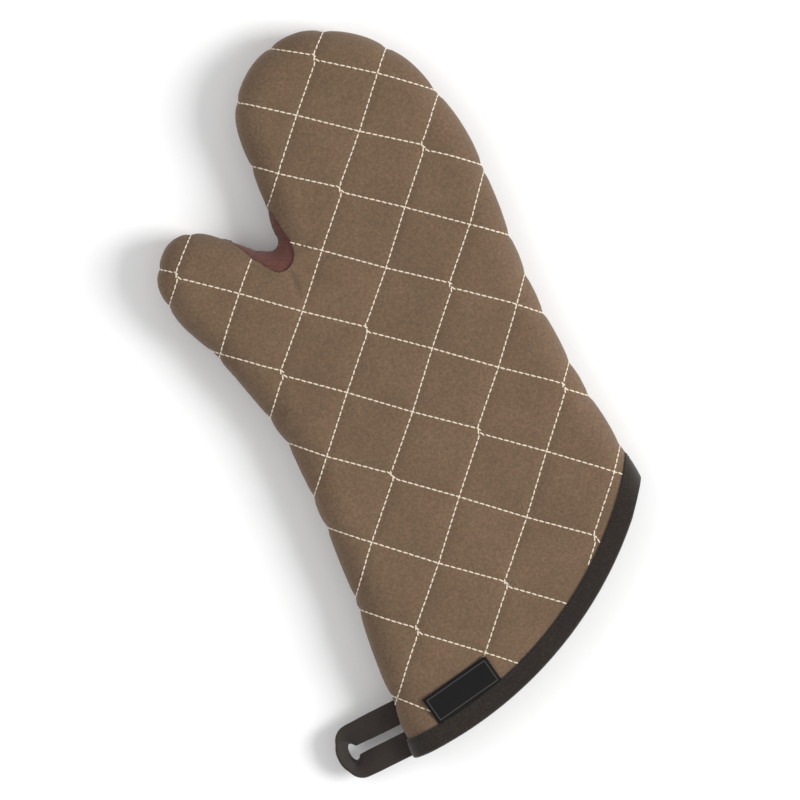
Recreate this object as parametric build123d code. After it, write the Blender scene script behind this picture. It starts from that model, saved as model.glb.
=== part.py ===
from build123d import *
import math
import os

# Conventional oven mitt, 17 inch size, lying flat. +Y points to the fingertips, the thumb is
# towards -X and +Z is up. The pattern is drawn with y = 0 at the lowest point of the cuff lip
# and x = 0 midway between the little-finger edge and the end of the hang loop. Each finished
# piece is moved so that the origin is under the middle of the mitt. All sizes are millimetres.

# --- overall sizes ---
MITT_LENGTH = 432.0          # fingertips to the lowest point of the cuff lip
MITT_WIDTH = 214.6           # thumb edge to little-finger edge
MITT_HEIGHT = 38.0           # lying on a table with the pocket half open
EDGE_ROUND = 18.0            # rounding of the outer shell along its edges
EDGE_FLAT = 1.0              # least flat left inside the outline's tightest bend
CUFF_RADIUS = 252.0          # sweep of the cuff lip
CUFF_CENTRE_X = -70.0        # the lip's lowest point is in line with the thumb side

# --- cloth and padding, from the outside in ---
SHELL_CLOTH = 0.8            # outer duck cloth
BARRIER_FILM = 0.2           # vapour barrier
BATTING = 4.2                # insulation, as thick as it lies in the hand part
LINING_CLOTH = 0.8           # inner lining
PLY_GAP = 0.1                # air between neighbouring plies

# --- edges, folds and seams ---
BINDING_WIDTH = 13.0         # visible band of the bias tape round the cuff
BINDING_CLOTH = 1.0          # folded bias tape, each leg
BINDING_STITCH_INSET = 2.0   # sewn line from the binding's inner edge
FOLD_GAP = 0.4               # between two panels that fold apart
FINGER_FOLD_Y = 347.0        # the finger pocket folds across the mitt here
THUMB_FOLD_X = -23.2         # a point of the thumb's fold line, by the crotch
THUMB_FOLD_Y = 323.4
THUMB_FOLD_ANGLE = 52.85     # direction of the thumb's fold line from +X
THREAD = 0.45                # sewing thread, laid into the cloth
STITCH_LINE = 0.8            # width of one sewn line
SEAM_CORD = 0.6              # sewn side seam, seen between the two faces

# --- quilting ---
QUILT_HALF_WIDTH = 30.0      # half a diamond across the mitt
QUILT_HALF_LENGTH = 29.6     # half a diamond along the mitt
QUILT_X = 15.0               # one crossing of the quilting lines
QUILT_Y = 191.6

# --- label and hang loop ---
LABEL_LENGTH = 47.0
LABEL_DEPTH = 18.0
LABEL_CLOTH = 0.5
LABEL_START_X = -59.0        # end of the label nearest the thumb side
LABEL_CLEARANCE = 0.4        # between the label and the binding's edge
LABEL_LIFT = 0.3             # between the label and the cloth below it
TAPE_WIDTH = 15.4            # hang loop tape
TAPE_CLOTH = 1.6             # folded twice
LOOP_LENGTH = 44.7           # hang loop along its slope, from its fold to its far end
LOOP_SLIT = 5.6              # open width between the two legs
LOOP_BIGHT = 7.0             # tape across the far end of the loop
LOOP_CORNER = 9.0            # rounding of the far end
LOOP_START_Y = 2.2           # lower edge of the leg that carries on from the binding
LOOP_EYE_CORNER = 2.0        # rounding of the slit's far end
LOOP_HINGE_GAP = 2.5         # the loop folds this far out from the cuff corner
LOOP_ROOT_RUN = 8.0          # tape drawn past its fold, then trimmed to the cuff
LOOP_CLEARANCE = 1.2         # between the loop's root and the cuff
LOOP_STITCH_INSET = 2.0      # sewn line from the tape's edge

# --- pattern: the base size that the mitt's length and width grade ---
BASE_LENGTH = 432.0
BASE_WIDTH = 214.6
# x, y and heading in degrees, anticlockwise, with the interior on the left
OUTLINE = [
    (20.0, -150.0, 0.0),     # closing sweep below the cuff, cut off by the lip
    (121.5, 92.0, 93.8),     # little-finger side of the cuff
    (116.0, 195.0, 90.0),    # wrist
    (124.9, 318.0, 90.0),    # widest
    (113.0, 384.0, 114.0),
    (93.0, 412.0, 138.0),
    (50.0, 432.0, 180.0),    # fingertips
    (4.0, 407.0, 240.0),
    (-6.7, 350.0, 262.5),
    (-11.5, 322.0, 259.5),   # crotch
    (-18.5, 320.2, 141.0),
    (-44.1, 344.0, 133.0),
    (-63.6, 353.4, 182.0),   # thumb tip
    (-89.7, 322.0, 272.0),
    (-76.6, 274.0, 287.5),
    (-66.0, 228.0, 278.5),
    (-63.1, 204.6, 271.0),   # wrist
    (-73.0, 87.0, 261.5),
    (-81.3, 16.5, 264.0),    # thumb side of the cuff
]
# edge of the web guard inside the crotch, from the thumb side round to the finger side
GUARD_EDGE = [
    (-37.6, 337.4, -62.0),
    (-24.5, 312.5, -62.0),
    (-14.5, 303.4, 0.0),
    (-3.8, 314.0, 88.0),
    (-4.9, 337.0, 97.0),
    (-9.0, 346.5, 122.0),
]
GUARD_STITCH_INSET = 1.6     # sewn line inside the guard's edge
GUARD_CLEARANCE = 0.4        # between the guard and the thumb, which folds past it

# --- values that follow from those above ---
GRADE_X = MITT_WIDTH / BASE_WIDTH
GRADE_Y = MITT_LENGTH / BASE_LENGTH
WALL = SHELL_CLOTH + BARRIER_FILM + BATTING + LINING_CLOTH + 3 * PLY_GAP
BOUND_BATTING = BATTING - 2 * (BINDING_CLOTH + PLY_GAP)   # squeezed by the binding
CUFF_CENTRE = (CUFF_CENTRE_X * GRADE_X, CUFF_RADIUS)
BINDING_EDGE_R = CUFF_RADIUS - BINDING_WIDTH
STEP_R = BINDING_EDGE_R - PLY_GAP                         # plies step in under the binding
PLY_END_R = CUFF_RADIUS - BINDING_CLOTH - PLY_GAP
SEAM_Z = MITT_HEIGHT / 2
FAR = 2 * (MITT_LENGTH + MITT_WIDTH)


def graded(x, y):
    """Move a point of the base pattern to this mitt's length and width."""
    return (x * GRADE_X, y * GRADE_Y)


def graded_heading(heading):
    """Turn a heading of the base pattern with the grading."""
    dx = math.cos(math.radians(heading)) * GRADE_X
    dy = math.sin(math.radians(heading)) * GRADE_Y
    return (dx / math.hypot(dx, dy), dy / math.hypot(dx, dy))


def left_of(direction):
    """Unit vector 90 degrees to the left of a direction."""
    return (-direction[1], direction[0])


def arc_from(start, heading, end):
    """Arc that leaves start along heading and reaches end, as start, end, centre and radius.

    The radius is positive where the arc turns left, so that it bulges out of the mitt.
    """
    normal = left_of(heading)
    chord = (end[0] - start[0], end[1] - start[1])
    lean = 2 * (normal[0] * chord[0] + normal[1] * chord[1])
    radius = (chord[0] ** 2 + chord[1] ** 2) / lean
    centre = (start[0] + normal[0] * radius, start[1] + normal[1] * radius)
    return start, end, centre, radius


def biarc(start, heading, end, end_heading):
    """Two arcs that join two points smoothly, each along its own heading."""
    chord = (end[0] - start[0], end[1] - start[1])
    total = (heading[0] + end_heading[0], heading[1] + end_heading[1])
    along = chord[0] * total[0] + chord[1] * total[1]
    spread = 2 * (1 - heading[0] * end_heading[0] - heading[1] * end_heading[1])
    length_squared = chord[0] ** 2 + chord[1] ** 2
    reach = length_squared / (along + math.sqrt(along ** 2 + spread * length_squared))
    joint = (
        (start[0] + end[0] + reach * (heading[0] - end_heading[0])) / 2,
        (start[1] + end[1] + reach * (heading[1] - end_heading[1])) / 2,
    )
    first = arc_from(start, heading, joint)
    centre, radius = first[2], first[3]
    inward = ((centre[0] - joint[0]) / radius, (centre[1] - joint[1]) / radius)
    second = arc_from(joint, (inward[1], -inward[0]), end)
    return [first, second]


def arc_chain(nodes):
    """Smoothly joined arcs through points with headings, graded to this mitt's size."""
    placed = [(graded(x, y), graded_heading(h)) for x, y, h in nodes]
    arcs = []
    for (start, heading), (end, end_heading) in zip(placed, placed[1:]):
        arcs += biarc(start, heading, end, end_heading)
    return arcs


ARCS = arc_chain(OUTLINE + OUTLINE[:1])
GUARD_ARCS = arc_chain(GUARD_EDGE)
TIGHTEST_BEND = min(arc[3] for arc in ARCS if arc[3] > 0)
ROUND = min(EDGE_ROUND, TIGHTEST_BEND - EDGE_FLAT)        # a rounding is limited by its wall


def moved_in(arcs, depth, z):
    """The edges of a chain of arcs moved to its left by depth, at height z."""
    edges = []
    for start, end, centre, radius in arcs:
        scale = (radius - depth) / radius
        ends = [(p[0] - centre[0], p[1] - centre[1]) for p in (start, end)]
        middle = (ends[0][0] + ends[1][0], ends[0][1] + ends[1][1])
        stretch = abs(radius) / math.hypot(*middle)
        middle = (middle[0] * stretch, middle[1] * stretch)
        points = [(centre[0] + p[0] * scale, centre[1] + p[1] * scale, z)
                  for p in (ends[0], middle, ends[1])]
        edges.append(Edge.make_three_point_arc(*points))
    return edges


def outline_face(depth, z):
    """The outline moved in by depth, as a face at height z."""
    return Face(Wire(moved_in(ARCS, depth, z)))


def bulk(depth):
    """The mitt's whole volume at a depth below its outer surface, with rounded edges."""
    height = MITT_HEIGHT - 2 * depth
    body = extrude(outline_face(depth, depth), amount=height, dir=(0, 0, 1))
    levels = body.edges().group_by(Axis.Z)
    return fillet(levels[0] + levels[-1], ROUND - depth)


def lip_cylinder(radius):
    """Upright cylinder round the cuff's centre: the lip and the binding follow it."""
    place = Location((CUFF_CENTRE[0], CUFF_CENTRE[1], SEAM_Z))
    return place * Cylinder(radius, MITT_HEIGHT * 2)


def ring(inner, outer):
    """Upright ring along the cuff, between two radii."""
    return lip_cylinder(outer) - lip_cylinder(inner)


def block(x_range, y_range, z_range):
    """Upright box between two corners."""
    sizes = [high - low for low, high in (x_range, y_range, z_range)]
    middle = [(high + low) / 2 for low, high in (x_range, y_range, z_range)]
    return Location(tuple(middle)) * Box(*sizes)


def prism(face):
    """Upright prism on a face, through the whole height of the mitt and past it."""
    return extrude(face.moved(Location((0, 0, -MITT_HEIGHT))), amount=3 * MITT_HEIGHT, dir=(0, 0, 1))


# --- plies ---

def ply_levels():
    """Each ply's two surfaces, as its depth in the hand part, its depth under the binding
    and the radius where it steps from one to the other."""
    levels = {}
    depth = 0.0
    bound = BINDING_CLOTH + PLY_GAP
    plies = [
        ("outer", SHELL_CLOTH, SHELL_CLOTH),
        ("vapour_barrier", BARRIER_FILM, BARRIER_FILM),
        ("batting", BATTING, BOUND_BATTING),
        ("lining", LINING_CLOTH, LINING_CLOTH),
    ]
    for name, thickness, bound_thickness in plies:
        top = (depth, bound, STEP_R - depth)
        depth += thickness
        bound += bound_thickness
        levels[name] = [top, (depth, bound, STEP_R - depth)]
        depth += PLY_GAP
        bound += PLY_GAP
    batting_inside = levels["batting"][1]
    levels["batting"][1] = (*batting_inside[:2], STEP_R - LINING_CLOTH - PLY_GAP)
    lining_outside, lining_inside = levels["lining"]
    levels["lining"][0] = (*lining_outside[:2], STEP_R - LINING_CLOTH)
    levels["lining"][1] = (*lining_inside[:2], STEP_R)
    return levels


def stepped_bulk(level, end_radius):
    """The volume inside one surface of a ply, stepping at the edge of the binding."""
    depth, bound_depth, step_radius = level
    hand_part = bulk(depth) & lip_cylinder(step_radius)
    bound_part = bulk(bound_depth) & ring(step_radius, end_radius)
    return hand_part + bound_part


def ply(levels):
    """One ply all round the mitt, open at the cuff."""
    outside = stepped_bulk(levels[0], PLY_END_R)
    inside = stepped_bulk(levels[1], CUFF_RADIUS + BINDING_WIDTH)
    return outside - inside


# --- regions that fold apart ---

def fold_point(along, across):
    """A point measured along the thumb's fold line and across it, towards the thumb tip."""
    angle = math.radians(THUMB_FOLD_ANGLE)
    x, y = graded(THUMB_FOLD_X, THUMB_FOLD_Y)
    return (
        x + along * math.cos(angle) - across * math.sin(angle),
        y + along * math.sin(angle) + across * math.cos(angle),
    )


def thumb_prism(gap):
    """Everything past the thumb's fold line, from a gap beyond it."""
    corner = fold_point(8.0, gap)
    outline = [fold_point(-FAR, gap), corner, (corner[0], FAR), (-FAR, FAR)]
    return prism(Face(Wire.make_polygon([(x, y, 0) for x, y in outline])))


def fingers_prism(gap):
    """Everything past the finger fold, from a gap beyond it, right of the crotch."""
    left = fold_point(8.0, 0)[0] + gap
    low = FINGER_FOLD_Y * GRADE_Y + gap
    return block((left, FAR), (low, FAR), (-FAR, FAR))


def guard_face(inset):
    """The web guard's crescent, closed through the open crotch and moved in by inset."""
    edges = moved_in(GUARD_ARCS, inset, 0)
    closing = Edge.make_line(edges[-1] @ 1, edges[0] @ 0)
    return Face(Wire(edges + [closing]))


def regions(guard):
    """Upright prisms of the hand, the fingers and the thumb."""
    half = FOLD_GAP / 2
    everything = block((-FAR, FAR), (-FAR, FAR), (-FAR, FAR))
    grown_guard = prism(guard_face(-GUARD_CLEARANCE))
    return {
        "hand": everything - thumb_prism(-half) - fingers_prism(-half) + guard,
        "fingers": fingers_prism(half),
        "thumb": thumb_prism(half) - grown_guard,
    }


def above(gap):
    """Everything above the side seam, from a gap over it."""
    return block((-FAR, FAR), (-FAR, FAR), (SEAM_Z + gap, FAR))


def below(gap):
    """Everything below the side seam, from a gap under it."""
    return block((-FAR, FAR), (-FAR, FAR), (-FAR, SEAM_Z - gap))


def halves(body, gap):
    """A shell's top and bottom faces."""
    return {"top": body & above(gap), "bottom": body & below(gap)}


# --- sewn lines ---

def quilting_walls():
    """The crossing sewn lines of the quilting, as thin upright walls."""
    step = 2 * QUILT_HALF_LENGTH * GRADE_Y
    half_width = QUILT_HALF_WIDTH * GRADE_X
    lean = math.degrees(math.atan2(step / 2, half_width))
    x, y = graded(QUILT_X, QUILT_Y)
    reach = math.ceil(MITT_LENGTH / step) + 2
    walls = []
    for row in range(-reach, reach + 1):
        place = Location((x, y + row * step, SEAM_Z))
        for angle in (lean, -lean):
            walls.append(place * Rot(0, 0, angle) * Box(FAR, STITCH_LINE, 2 * MITT_HEIGHT))
    return Part() + walls


def quilting_net():
    """The quilting threads, laid flush into the flat of both faces."""
    flat = prism(outline_face(ROUND, 0)) & lip_cylinder(STEP_R - SHELL_CLOTH)
    top = block((-FAR, FAR), (-FAR, FAR), (MITT_HEIGHT - THREAD, MITT_HEIGHT))
    bottom = block((-FAR, FAR), (-FAR, FAR), (0, THREAD))
    walls = quilting_walls() & flat
    return [walls & top, walls & bottom]


def skin(thickness):
    """A thin layer of the mitt's outer surface."""
    return bulk(0.0) - bulk(thickness)


# --- cuff binding ---

def cuff_binding(stitching):
    """Bias tape folded over the raw edge of all the plies, round the cuff."""
    folded = (bulk(0.0) - bulk(WALL)) & ring(BINDING_EDGE_R, CUFF_RADIUS)
    hollow = (bulk(BINDING_CLOTH) - bulk(WALL - BINDING_CLOTH)) & lip_cylinder(PLY_END_R + PLY_GAP)
    return folded - hollow - stitching


def binding_stitching(thread_skin):
    """The line that holds the binding, near its inner edge."""
    inner = BINDING_EDGE_R + BINDING_STITCH_INSET
    return thread_skin & ring(inner, inner + STITCH_LINE)


# --- label ---

def label_corner():
    """Lower corner of the label at the thumb side, just clear of the binding."""
    radius = BINDING_EDGE_R - LABEL_CLEARANCE
    x = LABEL_START_X * GRADE_X
    return (x, CUFF_CENTRE[1] - math.sqrt(radius ** 2 - (x - CUFF_CENTRE[0]) ** 2))


def label_angle():
    """Angle from +X of the label's sewn edge, a chord of the binding's inner edge."""
    radius = BINDING_EDGE_R - LABEL_CLEARANCE
    x, y = label_corner()
    to_corner = math.atan2(y - CUFF_CENTRE[1], x - CUFF_CENTRE[0])
    turn = 2 * math.asin(LABEL_LENGTH / (2 * radius))
    return math.degrees(to_corner + turn / 2) + 90


def label():
    """Plain woven label, sewn in along one edge so that it lifts like a flap."""
    x, y = label_corner()
    place = Location((x, y, MITT_HEIGHT + LABEL_LIFT)) * Rot(0, 0, label_angle())
    return place * Box(LABEL_LENGTH, LABEL_DEPTH, LABEL_CLOTH, align=(Align.MIN, Align.MIN, Align.MIN))


# --- hang loop ---

def loop_hinge():
    """Where the hang loop folds: x beside the thumb side of the cuff, z halfway up."""
    cuff_edge_x = graded(*OUTLINE[-1][:2])[0]
    return (cuff_edge_x - LOOP_HINGE_GAP, SEAM_Z)


def loop_droop():
    """Angle in degrees at which the loop's far end lies on the table."""
    half = TAPE_CLOTH / 2
    slope = math.asin(SEAM_Z / math.hypot(LOOP_LENGTH, half)) - math.atan2(half, LOOP_LENGTH)
    return math.degrees(slope)


def loop_end_x():
    """How far out the loop reaches as it lies on the table."""
    slope = math.radians(loop_droop())
    return loop_hinge()[0] - LOOP_LENGTH * math.cos(slope) - TAPE_CLOTH / 2 * math.sin(slope)


def rounded_end(reach, low_y, high_y, corner):
    """Flat strip along -X from beside the cuff, with its far corners rounded."""
    middle = ((LOOP_ROOT_RUN - reach) / 2, (low_y + high_y) / 2)
    strip = Location(middle) * Rectangle(LOOP_ROOT_RUN + reach, high_y - low_y)
    return fillet(strip.vertices().group_by(Axis.X)[0], corner)


def tape_band(inset, width):
    """Flat U of a given width that follows the loop's outer edge, moved in by inset."""
    high_y = LOOP_START_Y + 2 * TAPE_WIDTH + LOOP_SLIT
    near = inset + width
    outside = rounded_end(LOOP_LENGTH - inset, LOOP_START_Y + inset, high_y - inset, LOOP_CORNER - inset)
    inside = rounded_end(LOOP_LENGTH - near, LOOP_START_Y + near, high_y - near, LOOP_CORNER - near)
    return outside - inside


def hang_loop():
    """Folded tape that leaves the cuff corner, turns back and is sewn in beside it."""
    high_y = LOOP_START_Y + 2 * TAPE_WIDTH + LOOP_SLIT
    outside = rounded_end(LOOP_LENGTH, LOOP_START_Y, high_y, LOOP_CORNER)
    eye = rounded_end(
        LOOP_LENGTH - LOOP_BIGHT,
        LOOP_START_Y + TAPE_WIDTH,
        LOOP_START_Y + TAPE_WIDTH + LOOP_SLIT,
        LOOP_EYE_CORNER,
    )
    tape = extrude(outside - eye, amount=TAPE_CLOTH / 2, both=True)
    line = extrude(tape_band(LOOP_STITCH_INSET, STITCH_LINE), amount=THREAD, dir=(0, 0, -1))
    line = Location((0, 0, TAPE_CLOTH / 2)) * line
    hinge_x, hinge_z = loop_hinge()
    place = Location((hinge_x, 0, hinge_z)) * Rot(0, -loop_droop(), 0)
    keep_off = bulk(-LOOP_CLEARANCE)
    return place * (tape - line) - keep_off, place * line - keep_off


# --- the whole mitt ---

def shell_nodes():
    """Every node of the hand, finger and thumb shells, by name."""
    nodes = {}
    guard = prism(guard_face(0))
    areas = regions(guard)
    levels = ply_levels()
    outer = ply(levels["outer"])
    thread_skin = skin(THREAD)
    seam_gap = STITCH_LINE / 2
    net_top, net_bottom = (threads - guard for threads in quilting_net())
    outer_cloth = outer - net_top - net_bottom - guard
    for name, area in areas.items():
        for face, cloth in halves(outer_cloth & area, seam_gap).items():
            nodes[f"outer_{face}_{name}"] = cloth
        nodes[f"quilting_top_{name}"] = net_top & area
        nodes[f"quilting_bottom_{name}"] = net_bottom & area
        seam = block((-FAR, FAR), (-FAR, FAR), (SEAM_Z - SEAM_CORD / 2, SEAM_Z + SEAM_CORD / 2))
        nodes[f"side_seam_{name}"] = (outer - guard) & area & seam
    for ply_name in ("vapour_barrier", "batting", "lining"):
        whole = ply(levels[ply_name])
        for name, area in areas.items():
            for face, cloth in halves(whole & area, PLY_GAP / 2).items():
                nodes[f"{ply_name}_{face}_{name}"] = cloth
    guard_line = prism(guard_face(GUARD_STITCH_INSET)) - prism(guard_face(GUARD_STITCH_INSET + STITCH_LINE))
    nodes["web_guard_stitching"] = thread_skin & guard_line
    nodes["web_guard"] = (outer & guard) - nodes["web_guard_stitching"]
    return nodes


def trim_nodes():
    """The cuff binding, the label and the hang loop with their sewn lines, by name."""
    stitching = binding_stitching(skin(THREAD))
    tape, tape_stitching = hang_loop()
    return {
        "cuff_binding": cuff_binding(stitching),
        "cuff_binding_stitching": stitching,
        "label": label(),
        "hang_loop": tape,
        "hang_loop_stitching": tape_stitching,
    }


def describe(offset_to_origin):
    """Print where the folds and the label's sewn edge are, in the finished frame."""
    dx, dy = offset_to_origin
    hinge_x, hinge_z = loop_hinge()
    x, y = graded(THUMB_FOLD_X, THUMB_FOLD_Y)
    lx, ly = label_corner()
    print(f"finger fold y {FINGER_FOLD_Y * GRADE_Y + dy:.3f} z {MITT_HEIGHT:.3f}")
    print(f"thumb fold {x + dx:.3f} {y + dy:.3f} angle {THUMB_FOLD_ANGLE:.3f}")
    print(f"label edge {lx + dx:.3f} {ly + dy:.3f} angle {label_angle():.3f}")
    print(f"hang loop fold x {hinge_x + dx:.3f} z {hinge_z:.3f} droop {loop_droop():.3f}")


def main():
    """Build every node, move it to the finished frame and write it."""
    os.makedirs("parts", exist_ok=True)
    nodes = {**shell_nodes(), **trim_nodes()}
    right = max(end[0] for _, end, _, _ in ARCS)
    to_origin = (-(loop_end_x() + right) / 2, -MITT_LENGTH / 2)
    describe(to_origin)
    for name, solid in nodes.items():
        export_step(Location((*to_origin, 0)) * solid, f"parts/{name}.step")


main()
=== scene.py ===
"""Looks of a long quilted oven mitt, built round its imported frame.

Everything is in metres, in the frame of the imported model: +Y runs to the fingertips, the thumb is
towards -X, +Z is up from the table, and the origin is under the middle of the mitt.
"""

import logging
import math
from dataclasses import dataclass
from enum import Enum

import bmesh
import bpy
import numpy as np
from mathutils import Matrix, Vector, geometry, kdtree, noise


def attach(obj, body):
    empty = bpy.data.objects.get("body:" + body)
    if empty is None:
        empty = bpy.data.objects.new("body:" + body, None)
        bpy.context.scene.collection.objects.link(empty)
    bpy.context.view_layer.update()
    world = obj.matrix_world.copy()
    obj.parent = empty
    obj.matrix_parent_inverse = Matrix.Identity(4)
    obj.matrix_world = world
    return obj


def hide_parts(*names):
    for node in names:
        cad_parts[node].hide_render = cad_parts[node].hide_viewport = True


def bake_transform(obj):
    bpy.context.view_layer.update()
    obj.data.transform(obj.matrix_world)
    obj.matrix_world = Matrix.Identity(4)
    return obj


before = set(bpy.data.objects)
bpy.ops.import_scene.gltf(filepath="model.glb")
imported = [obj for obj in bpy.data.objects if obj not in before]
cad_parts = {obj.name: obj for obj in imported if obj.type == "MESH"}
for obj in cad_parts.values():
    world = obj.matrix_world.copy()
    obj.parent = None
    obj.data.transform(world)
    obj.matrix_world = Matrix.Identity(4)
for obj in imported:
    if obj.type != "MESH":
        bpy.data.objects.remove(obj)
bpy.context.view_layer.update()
LOG = logging.getLogger("oven_mitt")
MM = 0.001


class Side(Enum):
    """The two faces of the mitt."""

    TOP = 1
    BOTTOM = -1

    @property
    def word(self) -> str:
        """The face's name inside a piece's name."""
        return self.name.lower()


class Area(Enum):
    """Which part of the mitt a piece of cloth covers."""

    HAND = "hand"
    THUMB = "thumb"
    GUARD = "guard"


# --------------------------------------------------------------------------- plan shape


def unit(vector: np.ndarray) -> np.ndarray:
    """The vectors of an array, each made one long."""
    return vector / np.linalg.norm(vector, axis=-1, keepdims=True)


def turned_left(vector: np.ndarray) -> np.ndarray:
    """Vectors of the plane turned 90 degrees to the left."""
    return np.stack([-vector[..., 1], vector[..., 0]], axis=-1)


def smoothstep(low: float, high: float, x: np.ndarray) -> np.ndarray:
    """A smooth rise from 0 at low to 1 at high."""
    t = np.clip((x - low) / (high - low), 0.0, 1.0)
    return t * t * (3.0 - 2.0 * t)


def arc_samples(start: np.ndarray, heading: np.ndarray, end: np.ndarray, step: float) -> tuple:
    """Points along an arc that leaves start along heading and reaches end.

    Args:
        start: First point.
        heading: Unit direction at the first point.
        end: Last point, which the samples leave out.
        step: Largest distance between two samples.

    Returns:
        The points, their headings and the heading at the end.
    """
    chord = end - start
    lean = 2.0 * float(turned_left(heading) @ chord)
    curvature = lean / float(chord @ chord)
    sweep = 2.0 * math.asin(max(-1.0, min(1.0, curvature * np.linalg.norm(chord) / 2.0)))
    length = np.linalg.norm(chord) if abs(sweep) < 1e-6 else abs(sweep / curvature)
    count = max(2, int(math.ceil(length / step)))
    along = np.arange(count) / count * length
    base = math.atan2(heading[1], heading[0])
    angle = base + curvature * along
    if abs(curvature) < 1e-6:
        points = start + np.outer(along, heading)
    else:
        points = start + np.stack(
            [np.sin(angle) - math.sin(base), math.cos(base) - np.cos(angle)], axis=1
        ) / curvature
    last = base + curvature * length
    headings = np.stack([np.cos(angle), np.sin(angle)], axis=1)
    return points, headings, np.array([math.cos(last), math.sin(last)])


def smooth_chain(nodes: list, step: float) -> tuple:
    """Points and headings along a smooth chain of arcs through nodes.

    Args:
        nodes: x, y in metres and heading in degrees of each node.
        step: Largest distance between two samples.

    Returns:
        Two arrays, of the points and of their headings. The last node is left out.
    """
    points, headings = [], []
    for (x0, y0, h0), (x1, y1, h1) in zip(nodes, nodes[1:]):
        start, end = np.array([x0, y0]), np.array([x1, y1])
        t0 = np.array([math.cos(math.radians(h0)), math.sin(math.radians(h0))])
        t1 = np.array([math.cos(math.radians(h1)), math.sin(math.radians(h1))])
        chord = end - start
        along = float(chord @ (t0 + t1))
        spread = 2.0 * (1.0 - float(t0 @ t1))
        squared = float(chord @ chord)
        reach = squared / (along + math.sqrt(along**2 + spread * squared))
        joint = (start + end + reach * (t0 - t1)) / 2.0
        first = arc_samples(start, t0, joint, step)
        second = arc_samples(joint, first[2], end, step)
        points += [first[0], second[0]]
        headings += [first[1], second[1]]
    return np.concatenate(points), np.concatenate(headings)


def plan_tree(points: np.ndarray) -> kdtree.KDTree:
    """A search tree over points in plan.

    Args:
        points: The points.

    Returns:
        The tree, which finds the nearest point's number and distance.
    """
    tree = kdtree.KDTree(len(points))
    for index, (x, y) in enumerate(points):
        tree.insert((x, y, 0.0), index)
    tree.balance()
    return tree


def run_along(points: np.ndarray) -> np.ndarray:
    """Length run at each point of a line."""
    return np.concatenate([[0.0], np.cumsum(np.linalg.norm(np.diff(points, axis=0), axis=1))])


def split_runs(labels: np.ndarray) -> list:
    """Numbers of the items, cut wherever the label changes."""
    return np.split(np.arange(len(labels)), np.nonzero(np.diff(labels))[0] + 1)


def open_edges(triangles: np.ndarray) -> list:
    """Edges that only one triangle has, in the direction that it goes round them.

    Args:
        triangles: Rows of three point numbers.

    Returns:
        Pairs of point numbers.
    """
    edges = np.concatenate([triangles[:, [0, 1]], triangles[:, [1, 2]], triangles[:, [2, 0]]])
    seen = set(map(tuple, edges))
    return [(a, b) for a, b in edges if (b, a) not in seen]


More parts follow.
